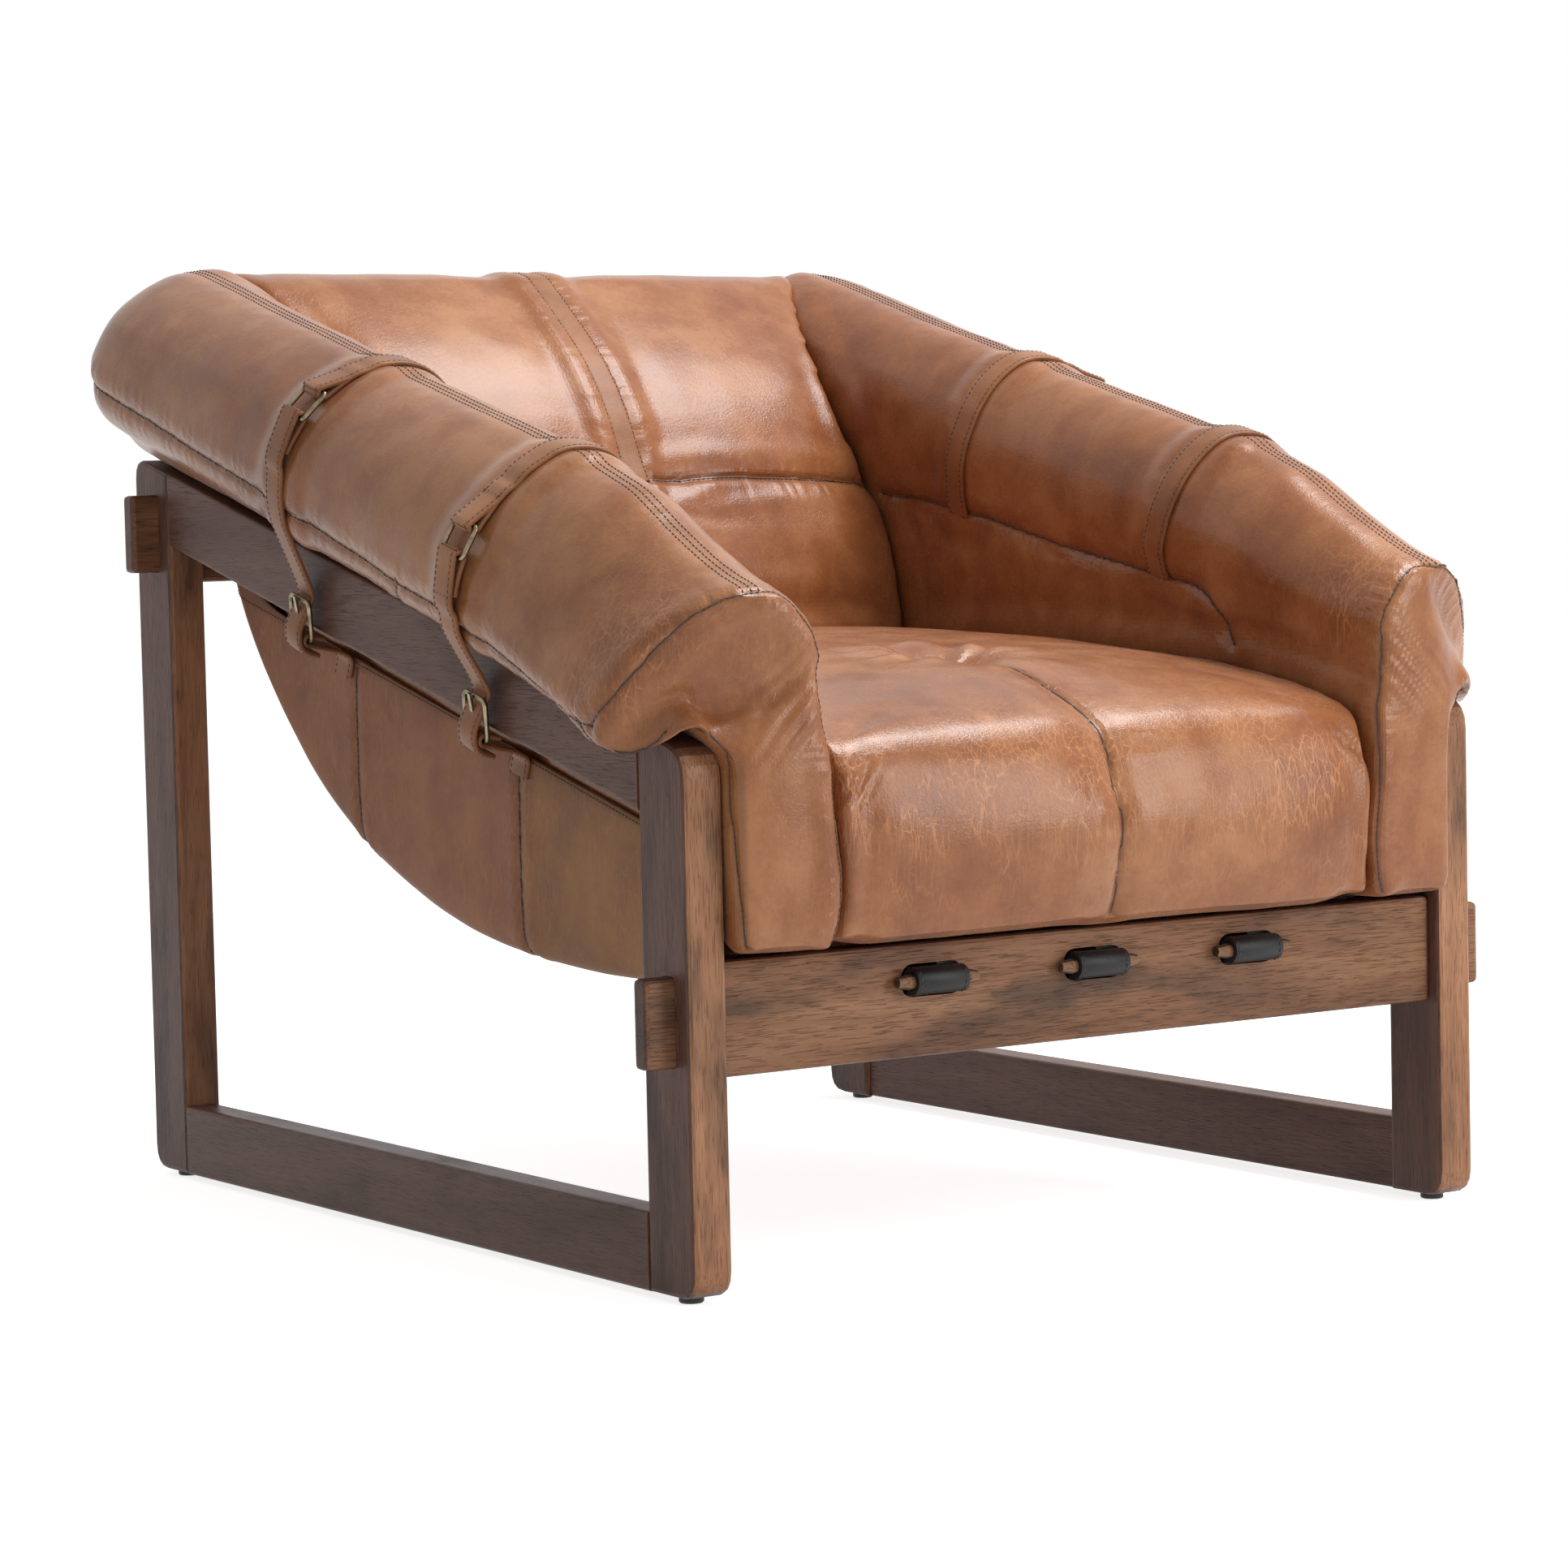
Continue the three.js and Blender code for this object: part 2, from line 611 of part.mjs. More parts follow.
function armWallFoot(s) {
  const floorNear = (y) => Math.max(...[-1, 0, 1].map((step) => paddingFloor(y + step * armFloorReach)));
  const clear = (n) => slantZ(armAlong(s, 0, n), n) > floorNear(slantY(armAlong(s, 0, n), n));
  let n = 1;
  while (clear(n - 1)) n -= 1;
  return n;
}

// Section of an arm at s, as (half width, n), from the foot of the wall over the roll and back down
function armSection(s) {
  const settled = ease((s - armFront) / armFrontDropLength);
  const ridge = armRidgeHeight - armFrontDrop * (1 - settled);
  const innerHalf = mix(armFrontInnerHalf, armInnerHalf, settled);
  const outerHeight = mix(armFrontOuterHeight, armOuterHeight, ease((s - armFront) / armShoulderLength));
  const seam = armSeam(s);
  const lobe = mix(armLobeFront, armLobeRear, armShare(s));
  const lobeHalf = armOuterHalf - mix(armFrontLobeInset, armLobeInset, settled);
  const foot = armWallFoot(s);
  const beforeCover = slantY(armAlong(s, 0, foot), foot) < frontRailY;
  const points = [];
  const innerSteps = 4;
  for (let k = 0; k < innerSteps; k += 1) {
    const share = k / innerSteps;
    points.push([armWallInner - armWallBulge * Math.sin(share * Math.PI), mix(foot, seam, share)]);
  }
  points.push([armWallInner, seam]);
  points.push([mix(armWallInner, innerHalf, 0.5) - armSeamBow, mix(seam, armInnerHeight, 0.5)]);
  const arcSteps = 6;
  for (let k = 0; k < arcSteps; k += 1) {
    const angle = (k / arcSteps) * Math.PI / 2;
    points.push([
      armRidgeHalf - (armRidgeHalf - innerHalf) * Math.cos(angle),
      armInnerHeight + (ridge - armInnerHeight) * Math.sin(angle),
    ]);
  }
  for (let k = 0; k < arcSteps; k += 1) {
    const angle = (k / arcSteps) * Math.PI / 2;
    points.push([
      armRidgeHalf + (armOuterHalf - armRidgeHalf) * Math.sin(angle) ** armShoulderFlat,
      outerHeight + (ridge - outerHeight) * Math.cos(angle) ** armShoulderFlat,
    ]);
  }
  for (let k = 0; k <= arcSteps; k += 1) {
    const angle = (k / arcSteps) * Math.PI / 2;
    points.push([
      lobeHalf + (armOuterHalf - lobeHalf) * Math.cos(angle),
      outerHeight - (outerHeight - lobe) * Math.sin(angle),
    ]);
  }
  const over = Math.max(lobe, 0);
  points.push([armOuterHalf - armHookInset, 0.6 * lobe + 4]);
  points.push([legOuterHalf + 2 * cushionGap, 0.35 * lobe + 3.5]);
  points.push([legOuterHalf + 2 * cushionGap - 0.5, 0.3 * over + 2 * cushionGap]);
  points.push([legOuterHalf - legThickness / 2, cushionGap], [legInnerHalf - jointGap, cushionGap]);
  const chamfer = beforeCover ? cushionEdge : Math.min(coverCornerRadius + 2, (cushionGap - foot) / 2);
  const wall = beforeCover ? armFrontWallOuter : armWallOuter;
  points.push([wall, mix(cushionGap, foot + chamfer, 0.2)]);
  points.push([wall, foot + chamfer], [wall - chamfer, foot]);
  return points.map((point) => new THREE.Vector2(...point));
}

const armDentFlat = strapWidth / 2 + 1;

function armStations() {
  const straps = [armStrapFront, armStrapRear].flatMap(
    (s) => [-armDentReach, -armDentFlat, armDentFlat, armDentReach].map((step) => s + step),
  );
  const first = armFront + armEvenStation;
  const last = armRear - armRearRound;
  const stations = [armFront + armFirstStation, ...straps];
  const count = 13;
  for (let i = 0; i <= count; i += 1) {
    const s = mix(first, last, i / count);
    if (straps.every((strap) => Math.abs(strap - s) > armStationGap)) stations.push(s);
  }
  return stations.sort((a, b) => a - b);
}

function armSurface(s) {
  const near = Math.min(Math.abs(s - armStrapFront), Math.abs(s - armStrapRear));
  return inset(armSection(s), armStrapDent * bump(Math.max(0, near - armDentFlat), strapWidth / 3));
}

function armCushion(side) {
  const ring = (s, points) => points.map(
    ({ x, y }) => new THREE.Vector3(side * x, armAlong(s, x, y), y),
  );
  const rings = [];
  [[0, armFrontEdge], [armFrontEdge, armFrontEdge / 3], [3 * armFrontEdge, 0]].forEach(([step, draw]) => {
    rings.push(ring(armFront + step, inset(armSection(armFront + step), draw)));
  });
  armStations().forEach((s) => rings.push(ring(s, armSurface(s))));
  const middle = new THREE.Vector2((armRidgeHalf + armOuterHalf + armInnerHalf) / 3, armOuterHeight);
  const roundSteps = 5;
  for (let k = 1; k <= roundSteps; k += 1) {
    const angle = (k / roundSteps) * Math.PI * 0.42;
    const s = armRear - armRearRound + armRearRound * Math.sin(angle);
    const shrunk = armSection(s).map((point) => middle.clone().lerp(point, Math.cos(angle)));
    rings.push(ring(s, shrunk));
  }
  return loft(rings, (point) => new THREE.Vector2(point.x, point.z));
}

piece('left_arm_cushion', armCushion(1), tanLeather, slanted);
piece('right_arm_cushion', armCushion(-1), tanLeather, slanted);

// Stations across the seat and the back, as shares of their half width
const acrossHalf = [0, 0.05, 0.13, 0.28, 0.47, 0.66, 0.84, 0.955, 1];
const across = [...acrossHalf.slice(1).map((share) => -share).reverse(), ...acrossHalf];
const endInset = (share) => cushionEdge * ease((Math.abs(share) - 0.8) / 0.2) ** 2;

function bellySide(fromY, toY, steps) {
  const points = [];
  for (let k = 0; k <= steps; k += 1) {
    const y = mix(fromY, toY, k / steps);
    points.push(new THREE.Vector2(y, paddingFloor(y)));
  }
  return points;
}

// Back cushion: leans on the cover, has a seam across it, and folds over the rear rail
const railBehind = rearRailY + crossRailThickness / 2;

function backFace() {
  const face = new THREE.SplineCurve([
    new THREE.Vector2(backFootY + backFootRound, seatRearHeight),
    new THREE.Vector2(mix(backFootY, backSeamY, 0.4), mix(seatRearHeight, backSeamHeight, 0.52)),
    new THREE.Vector2(backSeamY, backSeamHeight),
    new THREE.Vector2(mix(backSeamY, backRidgeY, 0.26), mix(backSeamHeight, backRidgeHeight, 0.42)),
    new THREE.Vector2(mix(backSeamY, backRidgeY, 0.57), mix(backSeamHeight, backRidgeHeight, 0.72)),
    new THREE.Vector2(backRidgeY, backRidgeHeight),
    new THREE.Vector2(mix(backRidgeY, backRearY, 0.75), mix(backRearHeight, backRidgeHeight, 0.6)),
    new THREE.Vector2(backRearY, backRearHeight),
    new THREE.Vector2(mix(railBehind, backRearY, 0.7), mix(backLobeHeight, backRearHeight, 0.24)),
    new THREE.Vector2(mix(railBehind, backRearY, 0.28), backLobeHeight),
  ]);
  return face.getPoints(27);
}

function backSection(x) {
  const face = backFace();
  const seamAt = face.findIndex((point) => point.y >= backSeamHeight);
  const moved = face.map((point, i) => {
    const along = face[Math.min(i + 1, face.length - 1)].clone().sub(face[Math.max(i - 1, 0)]).normalize();
    const outward = new THREE.Vector2(-along.y, along.x);
    const aboveSeam = point.y - backSeamHeight;
    const seam = backChannel * bump(aboveSeam, backSeamSpread) * (point.x < backRidgeY ? 1 : 0);
    const middle = i > seamAt ? 0.8 * backChannel * bump(x, backMiddleSpread) : 0;
    const crown = backCrown * (1 - (x / armWallInner) ** 2) * (i > 1 && point.x < backRidgeY ? 1 : 0);
    return point.clone().add(outward.multiplyScalar(crown - seam - middle));
  });
  const footY = backFootY + backFootRound;
  const foot = new THREE.Vector2(footY, paddingFloor(footY));
  const hook = [
    new THREE.Vector2(railBehind + 2 * cushionGap, rearRailTop + 6 * cushionGap),
    new THREE.Vector2(railBehind - cushionGap, rearRailTop + 2 * cushionGap),
    new THREE.Vector2(rearRailY - crossRailThickness / 2 + cushionGap, rearRailTop + 2 * cushionGap),
  ];
  const underside = bellySide(bellyRear.x - coverClearance, backFootY + backFootReach, 7);
  return [foot, ...moved, ...hook, ...underside];
}

function backPoint(share, point) {
  const n = (point.y - topLine(point.x)) * Math.cos(topAngle);
  const s = (point.x + n * Math.sin(topAngle)) / Math.cos(topAngle);
  const half = armInnerFace(s, n) - armWallBulge - 2 * cushionGap;
  return new THREE.Vector3(share * half, point.x, point.y);
}

function backCushion() {
  const section = (share) => inset(backSection(share * armInnerHalf), endInset(share));
  const rings = across.map((share) => section(share).map((point) => backPoint(share, point)));
  const endPanel = section(1);
  const middle = new THREE.Vector2(
    mix(backFootY, backRearY, 0.45),
    mix(seatRearHeight, backRidgeHeight, 0.5),
  );
  [0.8, 0.6, 0.4, 0.2].forEach((scale) => {
    const ring = (side) => endPanel.map((point) => backPoint(side, middle.clone().lerp(point, scale)));
    rings.push(ring(1));
    rings.unshift(ring(-1));
  });
  return loft(rings, (point) => new THREE.Vector2(point.y, point.z));
}

piece('back_cushion', backCushion(), tanLeather, chair);

// Seat cushion: fills the cover, overhangs the front rail, with a sewn centre line that ends in a tuft
function seatSection(x) {
  const half = armWallInner - armWallBulge - cushionGap;
  const lip = frontRailTop + 2 * cushionGap;
  const rear = backFootY - 2 * cushionGap;
  const crown = seatCrown * (1 - (x / half) ** 2);
  const face = new THREE.SplineCurve([
    new THREE.Vector2(seatFrontY + seatLipRound, lip),
    new THREE.Vector2(seatFrontY, mix(lip, seatFrontHeight, 0.3)),
    new THREE.Vector2(seatFrontY, mix(lip, seatFrontHeight, 0.66)),
    new THREE.Vector2(seatFrontY + seatNoseRound, mix(lip, seatFrontHeight, 0.93)),
    new THREE.Vector2(seatFrontY + seatNoseDepth, seatFrontHeight + seatNoseRise),
    new THREE.Vector2(mix(seatFrontY, seatTuftY, 0.6), mix(seatFrontHeight, seatRearHeight, 0.58)),
    new THREE.Vector2(seatTuftY, mix(seatFrontHeight, seatRearHeight, 0.76)),
    new THREE.Vector2(mix(seatTuftY, backFootY, 0.35), mix(seatFrontHeight, seatRearHeight, 0.93)),
    new THREE.Vector2(mix(seatTuftY, backFootY, 0.7), seatRearHeight),
    new THREE.Vector2(backFootY - seatRearRound, seatRearHeight),
    new THREE.Vector2(rear, seatRearHeight - seatRearDrop),
  ]).getPoints(30);
  const moved = face.map((point) => {
    const sewn = point.x < seatTuftY ? 1 : bump(point.x - seatTuftY, seatSewnSpread);
    const channel = seatChannel * bump(x, seatChannelSpread) * sewn;
    const tuft = seatTuftDepth * bump(Math.hypot(x, point.x - seatTuftY), seatTuftSpread);
    const onTop = ease((point.y - mix(lip, seatFrontHeight, 0.7)) / seatNoseDepth);
    return new THREE.Vector2(
      point.x + (1 - onTop) * channel,
      point.y + onTop * (crown - channel - tuft),
    );
  });
  const underside = bellySide(rear - coverCornerRadius, bellyFront.x + coverClearance, 9);
  const rail = new THREE.Vector2(bellyFront.x + coverClearance, lip);
  return [...moved, new THREE.Vector2(rear, paddingFloor(rear) + seatRearLift), ...underside, rail];
}

function seatCushion() {
  const half = armWallInner - armWallBulge - cushionGap;
  const rings = across.map((share) => {
    const section = inset(seatSection(share * half), endInset(share));
    return section.map((point) => new THREE.Vector3(share * half, point.x, point.y));
  });
  return loft(rings, (point) => new THREE.Vector2(point.y, point.z));
}

piece('seat_cushion', seatCushion(), tanLeather, chair);

// Straps, drawn as (p, q): p outwards from the seat, q up from the top of the rail that they cross
const strapAlong = new THREE.Matrix4().makeBasis(axisX, axisZ, axisY.clone().negate());
const barHalf = ringBar / 2;
const strapEye = barHalf + eyeClearance + strapThickness / 2;
const strapRest = strapGap + strapThickness / 2;
const strapDoubled = strapRest + strapThickness + jointGap;
const barRest = strapRest + strapEye;

function surfaceWalk(outline) {
  const lengths = [0];
  outline.slice(1).forEach((point, i) => lengths.push(lengths[i] + point.distanceTo(outline[i])));
  const at = (distance, height) => {
    const after = Math.max(1, lengths.findIndex((length) => length >= distance));
    const [a, b] = [outline[after - 1], outline[after]];
    const along = b.clone().sub(a).normalize();
    const point = a.clone().lerp(b, (distance - lengths[after - 1]) / (lengths[after] - lengths[after - 1]));
    const outward = new THREE.Vector2(-along.y, along.x);
    return { point: point.addScaledVector(outward, height), along, outward };
  };
  return { at, total: lengths.at(-1) };
}

function arc(centre, from, to, radius) {
  const points = [];
  const steps = 6;
  for (let k = 0; k <= steps; k += 1) {
    const angle = mix(from, to, k / steps);
    points.push(new THREE.Vector2(Math.cos(angle), Math.sin(angle)).multiplyScalar(radius).add(centre));
  }
  return points;
}

function strapSolid(points, width, thickness) {
  return extruded(ribbon(points, thickness), width).applyMatrix4(strapAlong);
}

function plateRing(from, to) {
  const outer = roundedRectangle(strapWidth + 2 + 2 * ringBar, from.distanceTo(to) + ringBar, ringBar);
  const inner = roundedRectangle(strapWidth + 2, from.distanceTo(to) - ringBar, ringBar / 4);
  outer.holes.push(new THREE.Path(inner.getPoints(1).reverse()));
  const up = from.clone().sub(to).normalize();
  const basis = new THREE.Matrix4().makeBasis(
    axisY,
    new THREE.Vector3(up.x, 0, up.y),
    new THREE.Vector3(up.y, 0, -up.x),
  );
  const middle = from.clone().lerp(to, 0.5);
  return extruded(outer, ringBar, ringBar / 4, 1).applyMatrix4(basis).translate(middle.x, 0, middle.y);
}

function strapSet(name, outline, rail, tabRoot, ringPlace, parent) {
  const group = new THREE.Group();
  parent.add(group);
  const walk = surfaceWalk(outline);
  const ridge = outline.reduce((best, point, i) => (point.y > outline[best].y ? i : best), 0);
  const widest = outline.reduce((best, point, i) => (point.x > outline[best].x ? i : best), 0);
  const lengthTo = (index) => surfaceWalk(outline.slice(0, index + 1)).total;
  const upperBar = mix(lengthTo(ridge), lengthTo(widest), ringPlace) - ringPitch / 2;
  const lowerBar = upperBar + ringPitch;
  const on = (distance, height) => walk.at(distance, height).point;
  const along = (from, to, height) => {
    const points = [];
    const steps = Math.max(2, Math.ceil(Math.abs(to - from) / strapStep));
    for (let k = 0; k <= steps; k += 1) points.push(on(mix(from, to, k / steps), height));
    return points;
  };
  const turn = (distance) => Math.atan2(walk.at(distance, 0).outward.y, walk.at(distance, 0).outward.x);
  const upperCentre = on(upperBar, barRest);
  const lowerCentre = on(lowerBar, barRest);

  // The upper strap runs over the ring's bar and back underneath itself
  const upper = [
    ...along(1, upperBar - 1.6 * foldLength, strapRest),
    on(upperBar - 1.15 * foldLength, strapDoubled),
    ...arc(upperCentre, turn(upperBar), turn(upperBar) - Math.PI, strapEye),
    ...along(upperBar - foldStart, upperBar - foldLength, strapRest),
  ];
  piece(`${name}_upper_strap`, strapSolid(upper, strapWidth, strapThickness), strapLeather, group);
  piece(`${name}_ring`, plateRing(upperCentre, lowerCentre), antiqueBrass, group);

  // The buckle hangs by its lower bar from the tab, and the lower strap threads through it
  const freeBar = new THREE.Vector2(rail.face + rail.standoff, buckleRise - rail.height);
  const buckleDrop = Math.sqrt(buckleLength ** 2 - buckleLean ** 2);
  const pivot = freeBar.clone().sub(new THREE.Vector2(buckleLean, buckleDrop));
  const tabEye = barHalf + eyeClearance + tabThickness / 2;
  const behindBar = freeBar.x - barHalf - softGap - strapThickness / 2;
  const overPivot = tabEye + tabThickness / 2 + softGap + strapThickness / 2;
  const target = new THREE.Vector2(behindBar, freeBar.y + buckleEntry);
  let leaves = lowerBar + 1.7 * foldLength;
  while (leaves < walk.total - 2) {
    const here = walk.at(leaves, strapRest);
    if (target.clone().sub(here.point).dot(here.outward) >= 0) break;
    leaves += 1;
  }
  const lower = [
    ...along(lowerBar + foldLength, lowerBar + foldStart, strapRest),
    ...arc(lowerCentre, turn(lowerBar) - Math.PI, turn(lowerBar) - 2 * Math.PI, strapEye),
    on(lowerBar + 1.15 * foldLength, strapDoubled),
    ...along(lowerBar + 1.6 * foldLength, leaves, strapRest),
    target,
    new THREE.Vector2(behindBar, freeBar.y - buckleExit),
    ...new THREE.SplineCurve([
      new THREE.Vector2(behindBar + 0.6, freeBar.y - 2.5 * buckleExit),
      new THREE.Vector2(mix(behindBar, pivot.x + overPivot, 0.6), mix(freeBar.y, pivot.y, 0.42)),
      new THREE.Vector2(pivot.x + overPivot + 1, mix(freeBar.y, pivot.y, 0.78)),
      new THREE.Vector2(pivot.x + 0.85 * overPivot, pivot.y - 0.55 * overPivot),
      new THREE.Vector2(pivot.x, pivot.y - 1.25 * overPivot),
      new THREE.Vector2(pivot.x - strapTail, pivot.y - 1.6 * overPivot),
    ]).getPoints(12),
  ];
  const slotTop = mix(freeBar.y, pivot.y, 0.18);
  const slotBottom = mix(freeBar.y, pivot.y, 0.8);
  const slot = new THREE.BoxGeometry(6 * strapThickness, prongSlotWidth, slotTop - slotBottom);
  slot.translate(mix(freeBar.x, pivot.x, 0.5), 0, (slotTop + slotBottom) / 2);
  const lowerSolid = cut(strapSolid(lower, strapWidth, strapThickness), slot);
  piece(`${name}_lower_strap`, lowerSolid, strapLeather, group);
  piece(`${name}_buckle_frame`, plateRing(freeBar, pivot), antiqueBrass, group);

  // The prong turns on the pivot bar and rests on the free bar
  const prongBore = barHalf + eyeClearance + 0.1;
  const eye = new THREE.Shape();
  eye.absarc(pivot.x, pivot.y, prongBore + prongThickness * 0.8, 0, 2 * Math.PI);
  const bore = new THREE.Path();
  bore.absarc(pivot.x, pivot.y, prongBore, 0, 2 * Math.PI, true);
  eye.holes.push(bore);
  const tip = freeBar.clone().add(new THREE.Vector2(barHalf + 3 * softGap + prongThickness / 2, barHalf));
  const reach = tip.clone().sub(pivot).normalize();
  const finger = [pivot.clone().addScaledVector(reach, prongBore + prongThickness * 0.4), tip];
  const prong = join(
    extruded(eye, prongWidth).applyMatrix4(strapAlong),
    strapSolid(finger, prongWidth, prongThickness),
  );
  piece(`${name}_buckle_prong`, prong, antiqueBrass, group);

  // The tab comes from under the rail and folds round the pivot bar, with a slit for the prong
  const away = new THREE.Vector2(-1, -0.3).normalize();
  const tab = [
    ...tabRoot,
    pivot.clone().addScaledVector(away, tabFold[0]).add(new THREE.Vector2(0, tabFold[1])),
    ...arc(pivot, -0.6 * Math.PI, 0.55 * Math.PI, tabEye),
    pivot.clone().addScaledVector(away, tabFold[0]).add(new THREE.Vector2(0, tabFold[2])),
  ];
  const slit = new THREE.BoxGeometry(tabSlit[0], prongSlotWidth, tabSlit[1]);
  slit.translate(pivot.x + tabSlit[2], 0, pivot.y);
  piece(`${name}_tab_strap`, cut(strapSolid(tab, strapWidth, tabThickness), slit), strapLeather, group);
  return group;
}

// Arm straps cross the rolls square to the top rails
function armStrap(name, s, side, ringPlace) {
  const section = armSurface(s);
  const seam = section.findIndex((point) => point.y >= armSeam(s) - armStrapDent);
  const widest = section.reduce((best, point, i) => (point.x > section[best].x ? i : best), 0);
  const lobeHalf = armOuterHalf - armLobeInset;
  const lower = (best, i) => (section[i].x > lobeHalf && section[i].y < section[best].y ? i : best);
  const lobe = [...section.keys()].reduce(lower, widest);
  const rail = { face: legOuterHalf, height: topRailDepth, standoff: armBuckleStandoff };
  const rootX = coverHalfWidth + softGap + tabThickness / 2;
  const rootTop = -topRailDepth - coverRimDrop * Math.cos(topAngle) - tabRootDrop;
  const tabRoot = [
    new THREE.Vector2(rootX, rootTop - tabRootLength),
    new THREE.Vector2(rootX, rootTop),
    new THREE.Vector2(rootX + tabRootTurn[0], rootTop + tabRootTurn[1]),
  ];
  const group = strapSet(name, section.slice(seam, lobe + 1), rail, tabRoot, ringPlace, slanted);
  group.position.y = s;
  group.rotation.z = side > 0 ? 0 : Math.PI;
}

[['left', 1], ['right', -1]].forEach(([hand, side]) => {
  armStrap(`${hand}_front`, armStrapFront, side, frontRingPlace);
  armStrap(`${hand}_rear`, armStrapRear, side, rearRingPlace);
});

// The back strap runs from the seam of the back over its top, and its tab is sewn to the middle belt
function backStrap() {
  const lift = new THREE.Vector2(0, -rearRailTop);
  const face = backSection(0.65 * strapWidth).slice(1, backFace().length + 1);
  const section = face.filter((point) => point.y >= backSeamHeight - backChannel);
  const rail = {
    face: railBehind,
    height: crossRailHeight,
    standoff: backBuckleStandoff,
  };
  const rootOffset = beltOffset + beltThickness / 2 + softGap + tabThickness / 2;
  const tabRoot = backTabPlaces.map((share) => bellyOffset(share, rootOffset).add(lift));
  const outline = section.map((point) => point.clone().add(lift));
  const group = strapSet('back', outline, rail, tabRoot, backRingPlace, chair);
  group.position.z = rearRailTop;
  group.rotation.z = Math.PI / 2;
}

backStrap();

// The origin is the middle of the chair on the floor
const whole = new THREE.Box3().setFromObject(chair, true);
chair.position.y = -(whole.min.y + whole.max.y) / 2;

export default chair;
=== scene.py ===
# %% [markdown]
# # A leather sling lounge chair
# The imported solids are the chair's true sizes and places. This lesson dresses them: the leather is
# padded and sewn, the straps are built with their stitching, and the wood and brass get their finish.

import math
from contextlib import contextmanager

import bmesh
import bpy
import numpy as np
from mathutils import Matrix, Vector, kdtree, noise
from mathutils.bvhtree import BVHTree


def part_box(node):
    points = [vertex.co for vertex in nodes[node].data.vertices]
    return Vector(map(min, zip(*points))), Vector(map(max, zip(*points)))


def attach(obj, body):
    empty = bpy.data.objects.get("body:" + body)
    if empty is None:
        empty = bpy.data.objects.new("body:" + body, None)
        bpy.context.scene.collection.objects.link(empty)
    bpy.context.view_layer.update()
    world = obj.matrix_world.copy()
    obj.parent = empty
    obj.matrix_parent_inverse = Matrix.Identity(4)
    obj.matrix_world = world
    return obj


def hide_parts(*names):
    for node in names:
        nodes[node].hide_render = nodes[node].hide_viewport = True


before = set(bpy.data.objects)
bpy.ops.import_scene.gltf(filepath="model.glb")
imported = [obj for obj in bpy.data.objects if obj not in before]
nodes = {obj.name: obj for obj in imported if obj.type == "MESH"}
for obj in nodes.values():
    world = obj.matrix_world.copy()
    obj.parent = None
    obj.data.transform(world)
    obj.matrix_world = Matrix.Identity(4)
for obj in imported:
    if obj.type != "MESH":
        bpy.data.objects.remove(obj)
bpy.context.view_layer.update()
scene = bpy.context.scene
ROOT = "chair"
MM = 0.001
SLOPE = math.radians(14.293)  # of the arm rails


def linked(name, data):
    piece = bpy.data.objects.new(name, data)
    scene.collection.objects.link(piece)
    return piece


# %% [markdown]
# ## Camera
# The photograph was taken with a long lens from the front right corner, a little above the seat.
# The place and turn come from lining up the corners of the wooden frame, so the camera is written
# as a point and three angles, and its matrix is put together from them.

# %% Camera
CAMERA_PLACE = Vector((-2.0725, -3.1126, 0.5852))
CAMERA_YAW, CAMERA_PITCH, CAMERA_ROLL = (math.radians(a) for a in (-33.8182, -3.9650, -1.2631))
LENS_MM, SENSOR_MM = 106.30, 36


def camera_axes(yaw, pitch, roll):
    """Right, up and forward of a camera that is turned, tipped and then rolled."""
    level = Vector((-math.sin(yaw), math.cos(yaw), 0))
    side = Vector((math.cos(yaw), math.sin(yaw), 0))
    forward = math.cos(pitch) * level + math.sin(pitch) * Vector((0, 0, 1))
    top = math.cos(pitch) * Vector((0, 0, 1)) - math.sin(pitch) * level
    right = math.cos(roll) * side + math.sin(roll) * top
    up = math.cos(roll) * top - math.sin(roll) * side
    return right, up, forward


right, up, forward = camera_axes(CAMERA_YAW, CAMERA_PITCH, CAMERA_ROLL)
camera_data = bpy.data.cameras.new("photo_camera")
camera_data.lens = LENS_MM
camera_data.sensor_width = SENSOR_MM
camera = linked("photo_camera", camera_data)
turned = Matrix((right, up, -forward)).transposed().to_4x4()
camera.matrix_world = Matrix.Translation(CAMERA_PLACE) @ turned
scene.camera = camera
scene.view_settings.view_transform = "Standard"
print("camera at", tuple(round(c, 3) for c in CAMERA_PLACE))

# %% [markdown]
# ## Writing materials as sums
# A material is a graph of nodes, and a long graph is hard to read as code. One small class stands
# for a value on its way through the graph, so that `1 - mask` or `a * 0.3 + b` adds the Math nodes.

# %% Values in a material
SHEEN_ROUGHNESS = 0.35


class Wire:
    """A node's output that can be added, taken away and multiplied."""

    def __init__(self, paint, socket):
        self.paint, self.socket = paint, socket

    def maths(self, operation, first, second):
        return self.paint.node("ShaderNodeMath", {"operation": operation}, {0: first, 1: second}, "Value")

    def __add__(self, other):
        return self.maths("ADD", self, other)

    def __sub__(self, other):
        return self.maths("SUBTRACT", self, other)

    def __rsub__(self, other):
        return self.maths("SUBTRACT", other, self)

    def __mul__(self, other):
        return self.maths("MULTIPLY", self, other)

    __radd__ = __add__
    __rmul__ = __mul__

    def between(self, low, high):
        """0 below low and 1 above high, with a soft step between."""
        settings = {"interpolation_type": "SMOOTHSTEP"}
        sockets = {"Value": self, "From Min": low, "From Max": high}
        return self.paint.node("ShaderNodeMapRange", settings, sockets, "Result")


